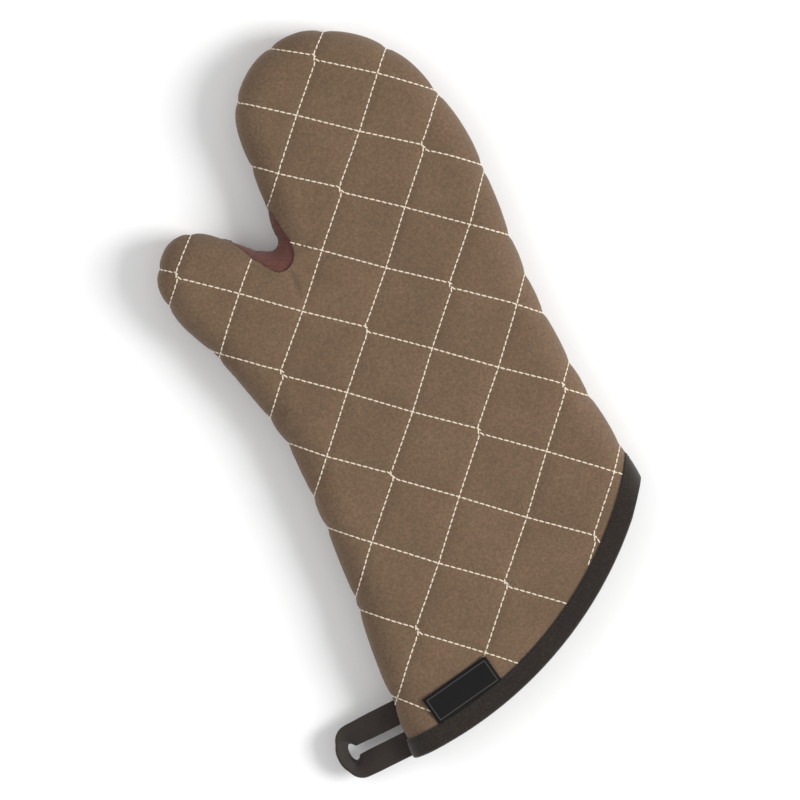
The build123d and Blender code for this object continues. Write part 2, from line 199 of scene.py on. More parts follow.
@dataclass
class Pattern:
    """The mitt in plan: its outline, cuff lip, web guard edge and folds.

    The nodes are measured in millimetres from the lowest point of the cuff lip, as on the cut
    cloth, and are moved to the frame when the pattern is made.
    """

    half_length: float = 216.0
    outline: tuple = (
        (20.0, -150.0, 0.0), (124.5, 30.0, 92.5), (121.5, 92.0, 93.8), (116.0, 195.0, 90.0),
        (121.0, 274.0, 83.5), (124.9, 318.0, 90.0), (121.1, 356.0, 101.0), (113.0, 384.0, 114.0),
        (93.0, 412.0, 138.0), (50.0, 432.0, 180.0), (21.0, 423.0, 213.0), (4.0, 407.0, 240.0),
        (-2.7, 384.5, 262.0), (-6.7, 350.0, 262.5), (-11.5, 322.0, 259.5), (-18.5, 320.2, 141.0),
        (-44.1, 344.0, 133.0), (-63.6, 353.4, 182.0), (-83.8, 341.5, 231.0), (-89.7, 322.0, 272.0),
        (-76.6, 274.0, 287.5), (-66.0, 228.0, 278.5), (-63.1, 204.6, 271.0), (-65.5, 157.0, 266.5),
        (-73.0, 87.0, 261.5), (-81.3, 16.5, 264.0), (-86.0, -40.0, 266.0), (20.0, -150.0, 360.0),
    )
    guard_edge: tuple = (
        (-37.6, 337.4, -62.0), (-24.5, 312.5, -62.0), (-14.5, 303.4, 0.0),
        (-3.8, 314.0, 88.0), (-4.9, 337.0, 97.0), (-9.0, 346.5, 122.0),
    )
    cuff_centre: tuple = (-70.0, 252.0)
    cuff_radius: float = 252.0
    binding_width: float = 13.0
    fold_point: tuple = (-23.2, 323.4)
    fold_angle: float = 52.85
    fine: float = 0.5

    def __post_init__(self) -> None:
        """Sample the outline and put everything in the frame, in metres."""
        self.centre = np.array([self.cuff_centre[0], self.cuff_centre[1] - self.half_length]) * MM
        self.lip_radius = self.cuff_radius * MM
        self.binding_radius = (self.cuff_radius - self.binding_width) * MM
        points, headings = smooth_chain(self.placed(self.outline), self.fine * MM)
        self.samples, self.inward = points, turned_left(headings)
        self.tree = plan_tree(points)
        self.guard_line, _ = smooth_chain(self.placed(self.guard_edge), 1.5 * MM)
        angle = math.radians(self.fold_angle)
        self.fold_origin = np.array([self.fold_point[0], self.fold_point[1] - self.half_length]) * MM
        self.fold_along = np.array([math.cos(angle), math.sin(angle)])
        self.fold_across = turned_left(self.fold_along)

    def placed(self, nodes: tuple) -> list:
        """Nodes moved from the cut cloth's millimetres to the frame's metres."""
        return [(x * MM, (y - self.half_length) * MM, h) for x, y, h in nodes]

    def depth(self, points: np.ndarray) -> tuple:
        """How far points are inside the outline.

        Args:
            points: Points in plan.

        Returns:
            The depths, negative outside, and the inward unit directions at the nearest edge.
        """
        found = [self.tree.find((x, y, 0.0)) for x, y in points]
        index = np.array([item[1] for item in found])
        distance = np.array([item[2] for item in found])
        inward = self.inward[index]
        lean = np.einsum("ij,ij->i", points - self.samples[index], inward)
        return np.where(distance < 2.0 * MM, lean, np.copysign(distance, lean)), inward

    def from_cuff(self, points: np.ndarray) -> np.ndarray:
        """Distances in plan from the centre of the cuff's sweep."""
        return np.linalg.norm(points - self.centre, axis=-1)

    def past_fold(self, points: np.ndarray) -> np.ndarray:
        """How far points are past the thumb's fold line, towards the thumb tip."""
        return (points - self.fold_origin) @ self.fold_across

    def on_thumb(self, points: np.ndarray) -> np.ndarray:
        """Whether points count as the thumb's: past its fold line, with x below 0 and y above 0."""
        # This takes in a strip of the fingers' edge beside the thumb too, which then goes into the thumb's
        # pieces.
        return (self.past_fold(points) > 0.0) & (points[:, 0] < 0.0) & (points[:, 1] > 0.0)

    def round_cuff(self, radius: float, angles: np.ndarray) -> np.ndarray:
        """Points at angles on a circle round the centre of the cuff's sweep."""
        return self.centre + radius * np.column_stack([np.cos(angles), np.sin(angles)])

    def in_guard(self, points: np.ndarray) -> np.ndarray:
        """Whether points are inside the web guard's crescent.

        Args:
            points: Points in plan.

        Returns:
            True or False for each point.
        """
        polygon = self.guard_line
        inside = np.zeros(len(points), bool)
        for (x0, y0), (x1, y1) in zip(polygon, np.roll(polygon, -1, axis=0)):
            crosses = (y0 > points[:, 1]) != (y1 > points[:, 1])
            with np.errstate(divide="ignore", invalid="ignore"):
                at = (x1 - x0) * (points[:, 1] - y0) / (y1 - y0) + x0
            inside ^= crosses & (points[:, 0] < at)
        return inside


# --------------------------------------------------------------------------- quilting


@dataclass
class Quilting:
    """The diamond grid of sewn lines, which draws in towards the fingertips."""

    first_row: float = 39.0
    row_pitch: float = 31.4
    row_shrink: float = 0.215
    half_width: float = 31.0
    width_shrink: float = 0.0088
    centre_x: float = 15.0
    centre_y: float = 192.0
    lean: float = 0.025
    bow: float = 0.00006
    rows: int = 15
    columns: int = 5
    jog: float = 1.7
    jog_every: int = 3
    jog_shift: float = 0.45

    def crossing(self, row: int, column: int) -> tuple:
        """Where two sewn lines meet, in the cut cloth's millimetres.

        Args:
            row: Row of the grid, counted from the cuff.
            column: Column of the grid, 0 in the middle.

        Returns:
            The meeting point's x and y.
        """
        y = self.first_row + self.row_pitch * row - self.row_shrink * row * row
        half = self.half_width - self.width_shrink * (y - self.first_row)
        rise = y - self.centre_y
        return self.centre_x - self.lean * rise - self.bow * rise * rise + column * half, y

    def lines(self, half_length: float) -> list:
        """Every sewn line as plan points in metres, from the cuff upwards.

        Args:
            half_length: Half the mitt's length in millimetres, to move the lines to the frame.

        Returns:
            A list of arrays of points. Every third row's threads run side by side for a few stitches.
        """
        found = []
        for turn in (1, -1):
            for start in range(-2 * self.columns - 6, 2 * self.columns + 7):
                points = []
                for row in range(-2, self.rows + 1):
                    column = start + turn * row
                    x, y = self.crossing(row, column)
                    if row % self.jog_every == 1:
                        shift = self.jog_shift * turn
                        points += [(x - shift, y - self.jog), (x - shift, y + self.jog)]
                    else:
                        points.append((x, y))
                if (start + turn * 5) % 2 == 0:
                    found.append((np.array(points) - [0.0, half_length]) * MM)
        return found


def finely(points: np.ndarray, step: float) -> np.ndarray:
    """A run of points with no two further apart than step.

    Args:
        points: The run.
        step: Largest distance left between two points.

    Returns:
        The run with points added.
    """
    made = []
    for start, end in zip(points, points[1:]):
        count = max(1, int(math.ceil(np.linalg.norm(end - start) / step)))
        made += [start + (end - start) * k / count for k in range(count)]
    return np.array(made + [points[-1]])


# --------------------------------------------------------------------------- the padded form


@dataclass
class Crease:
    """One soft wrinkle in the cloth, in the cut cloth's millimetres."""

    start: tuple
    end: tuple
    deep: float
    wide: float


@dataclass
class Form:
    """The mitt's padded body: two faces with rounded edges, and plies below them."""

    pattern: Pattern
    quilting: Quilting
    height: float = 38.0 * MM
    edge_round: float = 18.0 * MM
    bound_press: float = 1.1 * MM
    press_run: float = 9.0 * MM
    groove: float = 0.85 * MM
    groove_width: float = 2.4 * MM
    puff: float = 0.75 * MM
    puff_width: float = 9.0 * MM
    undulation: float = 0.55 * MM
    undulation_length: float = 0.055
    ripple: float = 0.22 * MM
    ripple_length: float = 0.017
    seam_groove: float = 1.0 * MM
    seam_width: float = 1.6 * MM
    crease_depth: float = 1.4
    hem: float = 0.75 * MM
    table_gap: float = 0.03 * MM
    creases: tuple = (
        Crease((-5.0, 309.0), (20.0, 316.0), 1.3, 1.3),
        Crease((-5.0, 304.0), (30.0, 296.0), 0.9, 2.2),
        Crease((-12.0, 303.0), (-15.0, 276.0), 1.0, 1.9),
        Crease((-24.0, 306.0), (-50.0, 299.0), 0.7, 2.2),
        Crease((-26.0, 310.0), (-44.0, 315.0), 0.6, 1.8),
        Crease((-7.0, 303.0), (10.0, 280.0), 0.8, 2.2),
        Crease((-64.0, 212.0), (-40.0, 216.0), 0.6, 2.8),
        Crease((-64.0, 221.0), (-46.0, 236.0), 0.45, 2.6),
        Crease((115.0, 203.0), (92.0, 208.0), 0.6, 3.0),
        Crease((117.0, 236.0), (98.0, 229.0), 0.4, 2.6),
    )

    def __post_init__(self) -> None:
        """Gather the quilting lines that cross the mitt."""
        self.sewn_lines = []
        for line in self.quilting.lines(self.pattern.half_length):
            fine = finely(line, 1.0 * MM)
            depths, _ = self.pattern.depth(fine)
            inside = (depths > 0.0) & (self.pattern.from_cuff(fine) < self.pattern.binding_radius)
            runs = split_runs(inside.astype(int))
            self.sewn_lines += [fine[run] for run in runs if inside[run[0]] and len(run) > 4]
        self.sewn_tree = plan_tree(np.concatenate(self.sewn_lines))

    def from_sewing(self, points: np.ndarray) -> np.ndarray:
        """Distances in plan to the nearest sewn line."""
        return np.array([self.sewn_tree.find((x, y, 0.0))[2] for x, y in points])

    def wrinkles(self, points: np.ndarray) -> np.ndarray:
        """Depth of the soft creases.

        Args:
            points: Points in plan.

        Returns:
            The depth at each point.
        """
        total = np.zeros(len(points))
        for crease in self.creases:
            ends = (np.array([crease.start, crease.end]) - [0.0, self.pattern.half_length]) * MM
            run = ends[1] - ends[0]
            t = np.clip((points - ends[0]) @ run / (run @ run), 0.0, 1.0)
            away = np.linalg.norm(points - ends[0] - t[:, None] * run, axis=1)
            fade = smoothstep(0.0, 0.15, t) * (1.0 - smoothstep(0.35, 1.0, t))
            total += crease.deep * MM * fade * np.exp(-((away / (crease.wide * MM)) ** 2))
        return total * self.crease_depth

    def relief(self, points: np.ndarray, side: Side) -> np.ndarray:
        """How far the outer cloth stands out from the plain padded form.

        Args:
            points: Points in plan.
            side: Which face.

        Returns:
            The distance at each point, which is never outwards on the bottom face.
        """
        sewing = self.from_sewing(points)
        sewn = np.exp(-((sewing / self.groove_width) ** 2))
        swell = 1.0 - np.exp(-((sewing / self.puff_width) ** 2))
        shift = 3.0 if side is Side.TOP else 9.0
        long, short = self.undulation_length, self.ripple_length
        roll = np.array([noise.noise((x / long, y / long, shift)) for x, y in points])
        fine = np.array([noise.noise((x / short, y / short, shift)) for x, y in points])
        depths, _ = self.pattern.depth(points)
        calm = smoothstep(0.0, 0.012, depths)
        from_seam = np.sqrt(2.0 * self.edge_round * np.clip(depths, 0.0, None))
        dip = self.seam_groove * np.exp(-((from_seam / self.seam_width) ** 2))
        total = -self.groove * sewn + self.puff * (swell - 0.75)
        total += (self.undulation * (roll - 0.35) + self.ripple * fine) * calm
        total -= self.wrinkles(points) + dip
        return total if side is Side.TOP else np.minimum(total, -self.table_gap)

    def hem_rise(self, points: np.ndarray) -> np.ndarray:
        """How far the brown cloth's turned hem stands up round the web guard."""
        return self.hem * np.exp(-(((self.signed_guard(points) - 0.6 * MM) / (1.3 * MM)) ** 2))

    def signed_guard(self, points: np.ndarray) -> np.ndarray:
        """Distances in plan to the web guard's edge.

        Args:
            points: Points in plan.

        Returns:
            The distances, negative inside the guard.
        """
        line = self.pattern.guard_line
        away = np.full(len(points), 1.0)
        near = np.linalg.norm(points - line.mean(axis=0), axis=1) < 0.08
        if near.any():
            gaps = np.linalg.norm(points[near][:, None] - line[None], axis=2)
            away[near] = gaps.min(axis=1)
        return np.where(self.pattern.in_guard(points), -away, away)

    def base(self, points: np.ndarray, side: Side) -> tuple:
        """The plain padded form over points in plan.

        Args:
            points: Points in plan.
            side: Which face.

        Returns:
            Positions, outward normals and how hard the binding presses there, from 0 to 1.
        """
        depths, inward = self.pattern.depth(points)
        level = np.clip((self.edge_round - np.clip(depths, 0.0, None)) / self.edge_round, 0.0, 1.0)
        rise = np.sqrt(1.0 - level**2)
        z = self.height / 2.0 - self.edge_round + self.edge_round * rise
        positions = np.column_stack([points, self.height / 2.0 + side.value * z])
        normals = np.column_stack([-inward * level[:, None], side.value * rise])
        radius = self.pattern.from_cuff(points)
        binding = self.pattern.binding_radius
        return positions, normals, smoothstep(binding - self.press_run, binding, radius)

    def surface(self, points: np.ndarray, side: Side, depth: float, pressed: float,
                relief: np.ndarray) -> tuple:
        """A ply's surface over points in plan.

        Args:
            points: Points in plan.
            side: Which face.
            depth: Depth of the surface below the plain form.
            pressed: Depth that the binding adds near the cuff, negative from inside.
            relief: Distance that each point stands out.

        Returns:
            Positions and outward normals.
        """
        positions, normals, press = self.base(points, side)
        free = 1.0 - press
        return positions + normals * (relief * free - depth - pressed * press)[:, None], normals

    def flattened(self, points: np.ndarray) -> np.ndarray:
        """Points in plan as on the flat cloth, with the rounded edges rolled out.

        Args:
            points: Points in plan.

        Returns:
            Their places on the flat cloth.
        """
        depths, inward = self.pattern.depth(points)
        depths = np.clip(depths, 0.0, self.edge_round)
        level = (self.edge_round - depths) / self.edge_round
        rolled = self.edge_round * np.arcsin(np.clip(level, -1.0, 1.0))
        return points + inward * (self.edge_round - depths - rolled)[:, None]


# --------------------------------------------------------------------------- meshes


@dataclass
class Skin:
    """One surface that wraps both faces of the mitt, before it is cut into pieces."""

    verts: np.ndarray
    normals: np.ndarray
    flat: np.ndarray
    triangles: np.ndarray
    plan: np.ndarray


@dataclass
class Weaver:
    """Lays a net of points over the pattern and lifts it to surfaces of the form."""

    form: Form
    spacing: float
    rings: tuple = (0.0, 0.025, 0.1, 0.35, 1.2, 2.6, 4.6, 7.2, 10.3, 13.8, 17.6)
    tight_turn: float = 0.05
    end_radius: float = 250.9 * MM
    lowest: float = -0.25
    end_gap: float = 0.7 * MM
    line_share: float = 0.42
    net_share: float = 0.5
    fold_reach: tuple = (-0.12, 0.012, 60)
    fold_overrun: float = 4.0 * MM
    lip_first: tuple = (0.4, 1.2, 2.4, 4.2, 6.5, 9.4, 12.8, 16.4, 20.0)
    lip_last: tuple = (30.0, 27.0, 24.5, 22.0, 19.5, 17.0, 14.6, 12.2, 9.8, 7.6, 5.4, 3.6, 2.0, 0.8)
    lip_turn: float = 0.12
    grid_across: tuple = (-0.1, 0.13)
    grid_along: tuple = (-0.22, 0.22)
    row_share: float = 0.866

    def __post_init__(self) -> None:
        """Triangulate the plan once."""
        pattern = self.form.pattern
        radius = pattern.from_cuff(pattern.samples)
        stride = max(1, int(round(self.spacing / (pattern.fine * MM))))
        inside = np.nonzero((radius < self.end_radius) & (pattern.samples[:, 1] > self.lowest))[0]
        turn = np.linalg.norm(pattern.inward - np.roll(pattern.inward, 1, axis=0), axis=1)
        bends = inside[turn[inside] > self.tight_turn][::2]
        keep = np.unique(np.concatenate([inside[::stride], inside[-1:], bends]))
        rim, rim_in = pattern.samples[keep], pattern.inward[keep]
        lip = self.lip_arc(rim[-1], rim[0])
        border = np.concatenate([rim, lip])
        rings = [rim + rim_in * ring * MM for ring in self.rings[3:]]
        every = max(1, int(round(self.spacing / MM)))
        sewn = np.concatenate([line[::every] for line in self.form.sewn_lines])
        net = np.concatenate(rings + [self.grid()])
        depths, _ = pattern.depth(net)
        fits = (depths > 0.2 * MM) & (pattern.from_cuff(net) < self.end_radius - self.end_gap)
        net = net[fits]
        fold = pattern.fold_origin + np.outer(np.linspace(*self.fold_reach), pattern.fold_along)
        fold = fold[(pattern.depth(fold)[0] > -self.fold_overrun)]
        lines = [fold, pattern.guard_line]
        fixed = np.concatenate([border] + lines)
        sewn = self.apart_from(sewn, fixed, self.line_share * self.spacing)
        seam = np.concatenate([rim + rim_in * ring * MM for ring in self.rings[1:3]])
        seam = seam[pattern.from_cuff(seam) < self.end_radius - self.end_gap]
        seam = self.apart_from(seam, np.concatenate(lines), self.line_share * self.spacing)
        net = self.apart_from(net, np.concatenate([fixed, sewn]), self.net_share * self.spacing)
        net = np.concatenate([seam, net])
        self.triangulate(border, lines, np.concatenate([sewn, net]))
        self.lift = [self.form.relief(self.plan, side) for side in (Side.TOP, Side.BOTTOM)]

    def lip_arc(self, start: np.ndarray, end: np.ndarray) -> np.ndarray:
        """Points along the cuff, closer together where the edge is rounded.

        Args:
            start: Last point of the outline before the cuff.
            end: First point of the outline after it.

        Returns:
            The points, without the two ends.
        """
        centre = self.form.pattern.centre
        first = math.atan2(*(start - centre)[::-1])
        last = math.atan2(*(end - centre)[::-1])
        near = np.array(self.lip_first) * MM / self.end_radius
        far = np.array(self.lip_last) * MM / self.end_radius
        step = self.spacing / self.end_radius
        middle = np.arange(first + near[-1] + step, last - self.lip_turn, step)
        angles = np.concatenate([first + near, middle, last - far])
        return self.form.pattern.round_cuff(self.end_radius, angles)

    def grid(self) -> np.ndarray:
        """An even triangular grid over the flat of the face.

        Returns:
            The grid's points, all of them inside the innermost ring.
        """
        across = np.arange(*self.grid_across, self.spacing)
        rows = []
        for index, y in enumerate(np.arange(*self.grid_along, self.spacing * self.row_share)):
            shift = (index % 2) * self.spacing / 2
            rows.append(np.column_stack([across + shift, np.full(len(across), y)]))
        points = np.concatenate(rows)
        depths, _ = self.form.pattern.depth(points)
        return points[depths > self.rings[-1] * MM + 0.55 * self.spacing]

    def apart_from(self, points: np.ndarray, fixed: np.ndarray, gap: float) -> np.ndarray:
        """Points with those dropped that crowd fixed ones.

        Args:
            points: The points.
            fixed: Points that stay as they are.
            gap: Distance to keep from them, which is less near the mitt's edge.

        Returns:
            The points that are left.
        """
        tree = plan_tree(fixed)
        depths, _ = self.form.pattern.depth(points)
        away = np.array([tree.find((x, y, 0.0))[2] for x, y in points])
        return points[away > np.minimum(gap, 0.25 * MM + 0.2 * depths)]

    def triangulate(self, border: np.ndarray, lines: list, net: np.ndarray) -> None:
        """Fill the border with triangles that keep to the lines.

        Args:
            border: Points round the plan.
            lines: Runs of points that edges follow.
            net: Every other point.
        """
        coords = [Vector(p) for p in np.concatenate([border] + lines + [net])]
        edges, at = [], len(border)
        for line in lines:
            edges += [(at + k, at + k + 1) for k in range(len(line) - 1)]
            at += len(line)
        loop = list(range(len(border)))
        found = geometry.delaunay_2d_cdt(coords, edges, [loop], 1, 1e-6)
        plan = np.array([tuple(v) for v in found[0]])
        triangles = np.array([list(f) for f in found[2] if len(f) == 3])
        a, b, c = (plan[triangles[:, k]] for k in range(3))
        area = (b - a)[:, 0] * (c - a)[:, 1] - (b - a)[:, 1] * (c - a)[:, 0]
        triangles = triangles[np.abs(area) > 1e-12]
        area = area[np.abs(area) > 1e-12]
        triangles[area < 0] = triangles[area < 0][:, ::-1]
        used = np.unique(triangles)
        renumber = np.full(len(plan), -1)
        renumber[used] = np.arange(len(used))
        self.plan, self.triangles = plan[used], renumber[triangles]
        depth, _ = self.form.pattern.depth(self.plan)
        at_edge = depth < 0.1 * MM
        self.rim = [(a, b) for a, b in open_edges(self.triangles) if at_edge[a] and at_edge[b]]

    def rim_points(self) -> np.ndarray:
        """The points of the closed edge in order.

        Returns:
            The points, from the cuff's right end round to its left.
        """
        after = dict(self.rim)
        start = (set(after) - set(after.values())).pop()
        order = [start]
        while order[-1] in after:
            order.append(after[order[-1]])
        return self.plan[order]

    def skin(self, depth: float, pressed: float, relief: float, hemmed: bool = False) -> Skin:
        """The whole wrapped surface at a depth below the plain form.

        Args:
            depth: Depth below the plain form.
            pressed: Depth that the binding adds near the cuff.
            relief: Share of the quilting's swell and the creases that shows, from 0 to 1.
            hemmed: Whether the surface stands up round the web guard.

        Returns:
            The surface, closed round the rim and open at the cuff.
        """
        count = len(self.plan)
        parts = []
        hem = self.form.hem_rise(self.plan) if hemmed else 0.0
        for side, lift in zip((Side.TOP, Side.BOTTOM), self.lift):
            raised = lift * relief + hem * (side is Side.TOP)
            parts.append(self.form.surface(self.plan, side, depth, pressed, raised))
        used = sorted({v for edge in self.rim for v in edge})
        seam_of = {v: 2 * count + k for k, v in enumerate(used)}
        seam = (parts[0][0][used] + parts[1][0][used]) / 2.0 - parts[0][1][used] * 0.1 * MM
        flat_top = self.form.flattened(self.plan)
        verts = np.concatenate([parts[0][0], parts[1][0], seam])
        bottom = self.triangles[:, ::-1] + count
        band = []
        for a, b in self.rim:
            sa, sb = seam_of[a], seam_of[b]
            band += [(a, sa, sb), (a, sb, b), (sa, a + count, b + count), (sa, b + count, sb)]
        triangles = np.concatenate([self.triangles, bottom, np.array(band)])
        made = Skin(verts, np.zeros_like(verts), np.concatenate([flat_top, flat_top, flat_top[used]]),
                    triangles, np.concatenate([self.plan, self.plan, self.plan[used]]))
        made.normals = vertex_normals(made.verts, made.triangles)
        return made


def vertex_normals(verts: np.ndarray, triangles: np.ndarray) -> np.ndarray:
    """Area-weighted normals of a mesh's points.

    Args:
        verts: The points.
        triangles: Rows of three point numbers.

    Returns:
        One normal for each point.
    """
    a, b, c = (verts[triangles[:, k]] for k in range(3))
    faces = np.cross(b - a, c - a)
    total = np.zeros_like(verts)
    for k in range(3):
        np.add.at(total, triangles[:, k], faces)
    return total / np.maximum(np.linalg.norm(total, axis=1, keepdims=True), 1e-12)


def in_scene(name: str, data: bpy.types.ID) -> bpy.types.Object:
    """A new object in the scene.

    Args:
        name: Its name.
        data: Its mesh, camera or light.

    Returns:
        The object.
    """
    made = bpy.data.objects.new(name, data)
    bpy.context.scene.collection.objects.link(made)
    return made


def mesh_object(name: str, verts: np.ndarray, faces: list, normals: np.ndarray = None,
                flat: np.ndarray = None) -> bpy.types.Object:
    """A smooth mesh in the scene.

    Args:
        name: The piece's name.
        verts: Its points.
        faces: Its faces, as rows of point numbers.
        normals: Shading normals of the points, if they aren't the mesh's own.
        flat: Place of each point on the flat cloth, for the UV map.

    Returns:
        The new object.
    """
    mesh = bpy.data.meshes.new(name)
    mesh.from_pydata([tuple(v) for v in verts], [], [tuple(int(i) for i in f) for f in faces])
    mesh.update()
    mesh.polygons.foreach_set("use_smooth", [True] * len(mesh.polygons))
    if flat is not None:
        corners = np.zeros(len(mesh.loops), int)
        mesh.loops.foreach_get("vertex_index", corners)
        mesh.uv_layers.new(name="cloth").data.foreach_set("uv", flat[corners].astype(np.float32).ravel())
    if normals is not None:
        mesh.normals_split_custom_set_from_vertices([tuple(n) for n in normals])
    return in_scene(name, mesh)


def thick_piece(name: str, outer: Skin, inner: Skin, chosen: np.ndarray) -> bpy.types.Object:
    """A closed piece of cloth between two skins that share their points.

    Args:
        name: The piece's name.
        outer: The surface of its outer face.
        inner: The surface of its inner face.
        chosen: Which of the skins' triangles it keeps.

    Returns:
        The piece.
    """
    triangles = outer.triangles[chosen]
    used = np.unique(triangles)
    renumber = np.full(len(outer.verts), -1)
    renumber[used] = np.arange(len(used))
    outside = renumber[triangles]
    count = len(used)
    walls = []
    for a, b in open_edges(outside):
        walls += [(b, a, a + count), (b, a + count, b + count)]
    faces = np.concatenate([outside, outside[:, ::-1] + count, np.array(walls).reshape(-1, 3)])
    both = np.concatenate([outer.verts[used], inner.verts[used]])
    shading = np.concatenate([outer.normals[used], -inner.normals[used]])
    flat = np.concatenate([outer.flat[used], outer.flat[used]])
    return mesh_object(name, both, faces, shading, flat)


def declare_cloth(piece: bpy.types.Object, skin: Skin, chosen: np.ndarray) -> None:
    """Args:
        piece: The finished cloth.
        skin: The surface it was cut from.
        chosen: Which of the skin's triangles it keeps.
    """
    corners = skin.flat[skin.triangles[chosen]]
    a, b = corners[:, 1] - corners[:, 0], corners[:, 2] - corners[:, 0]
    area = float(np.abs(a[:, 0] * b[:, 1] - a[:, 1] * b[:, 0]).sum() / 2.0)
    size = np.ptp(corners.reshape(-1, 2), axis=0)
    size_mm = (size[0] / MM, size[1] / MM)
    LOG.info("%s cut from %.0f x %.0f mm, %.0f square cm", piece.name, *size_mm, area * 1e4)


# --------------------------------------------------------------------------- finishes


class Value:
    """A number in a material's nodes, which takes part in Python expressions."""

    def __init__(self, paint: "Paint", socket: bpy.types.NodeSocket) -> None:
        """Keep the socket and the material it belongs to."""
        self.paint, self.socket = paint, socket

    def made(self, operation: str, first: object, second: object = 0.0) -> "Value":
        """The result of one Math node."""
        node = self.paint.node("ShaderNodeMath", {"operation": operation}, {0: first, 1: second})
        return Value(self.paint, node.outputs[0])

    def __add__(self, other: object) -> "Value":
        """Sum."""
        return self.made("ADD", self, other)

    def __sub__(self, other: object) -> "Value":
        """Difference."""
        return self.made("SUBTRACT", self, other)

    def __mul__(self, other: object) -> "Value":
        """Product."""
        return self.made("MULTIPLY", self, other)

    def __rsub__(self, other: object) -> "Value":
        """Difference from a number on the left."""
        return self.made("SUBTRACT", other, self)

    __radd__, __rmul__ = __add__, __mul__

    def sine(self) -> "Value":
        """Sine."""
        return self.made("SINE", self)

    def above(self, level: float) -> "Value":
        """1 where the number is over a level, else 0."""
        return self.made("GREATER_THAN", self, level)

    def minimum(self, other: object) -> "Value":
        """The smaller of two numbers."""
        return self.made("MINIMUM", self, other)

    def positive(self) -> "Value":
        """The number, or 0 where it is negative."""
        return self.made("MAXIMUM", self, 0.0)

    def size(self) -> "Value":
        """The number without its sign."""
        return self.made("ABSOLUTE", self)


class Paint:
    """One material and the nodes that make it."""

    def __init__(self, name: str) -> None:
        """Start a material with a Principled shader.

        Args:
            name: The material's name.
        """
        self.material = bpy.data.materials.new(name)
        self.material.use_nodes = True
        self.tree = self.material.node_tree
        self.shader = self.tree.nodes["Principled BSDF"]

    def node(self, kind: str, settings: dict, inputs: dict) -> bpy.types.Node:
        """Add one node.

        Args:
            kind: The node's type.
            settings: Its own settings, set before its sockets.
            inputs: Values or links of its sockets, by name or number.

        Returns:
            The node.
        """
        made = self.tree.nodes.new(kind)
        for key, value in settings.items():
            setattr(made, key, value)
        for key, value in inputs.items():
            self.feed(made.inputs[key], value)
        return made

    def feed(self, socket: bpy.types.NodeSocket, value: object) -> None:
        """Link or set one socket.

        Args:
            socket: The socket.
            value: A number, a colour, another socket or a Value.
        """
        if isinstance(value, Value):
            value = value.socket
        if isinstance(value, bpy.types.NodeSocket):
            self.tree.links.new(value, socket)
        else:
            socket.default_value = value

    def place(self, uv: str = "", scale: tuple = (1.0, 1.0, 1.0), turn: float = 0.0) -> bpy.types.NodeSocket:
        """Coordinates in metres, times scale and turned about Z.

        Args:
            uv: The UV map that they come from, or nothing for the object's own space.
            scale: Factor of each coordinate.
            turn: Angle in degrees.

        Returns:
            The coordinates' socket.
        """
        if uv:
            source = self.node("ShaderNodeUVMap", {"uv_map": uv}, {}).outputs["UV"]
        else:
            source = self.node("ShaderNodeTexCoord", {}, {}).outputs["Object"]
        settings = {"Vector": source, "Scale": scale, "Rotation": (0.0, 0.0, math.radians(turn))}
        return self.node("ShaderNodeMapping", {}, settings).outputs["Vector"]

    def noise(self, vector: bpy.types.NodeSocket, scale: float, detail: float = 3.0) -> Value:
        """Fractal noise over coordinates."""
        made = self.node("ShaderNodeTexNoise", {}, {"Vector": vector, "Scale": scale, "Detail": detail})
        return Value(self, made.outputs["Fac"])

    def axis(self, vector: bpy.types.NodeSocket, name: str) -> Value:
        """One coordinate of a vector."""
        return Value(self, self.node("ShaderNodeSeparateXYZ", {}, {"Vector": vector}).outputs[name])

    def mixed(self, share: object, first: object, second: object) -> bpy.types.NodeSocket:
        """A colour between two, by share from 0 to 1."""
        made = self.node("ShaderNodeMix", {"data_type": "RGBA"}, {0: share, 6: first, 7: second})
        return made.outputs[2]

    def bumped(self, height: object, distance: float, strength: float = 1.0) -> bpy.types.NodeSocket:
        """A normal from a height."""
        made = self.node("ShaderNodeBump", {}, {"Height": height, "Distance": distance, "Strength": strength})
        return made.outputs["Normal"]

    def finish(self, **sockets: object) -> bpy.types.Material:
        """Set the shader's sockets.

        Args:
            sockets: Their values or links, with _ for a space in a socket's name.

        Returns:
            The material.
        """
        for key, value in sockets.items():
            self.feed(self.shader.inputs[key.replace("_", " ")], value)
        return self.material


def linear(red: float, green: float, blue: float) -> tuple:
    """A colour from its display values of 0 to 255."""
    parts = [c / 255.0 for c in (red, green, blue)]
    return tuple(c / 12.92 if c <= 0.04045 else ((c + 0.055) / 1.055) ** 2.4 for c in parts) + (1.0,)


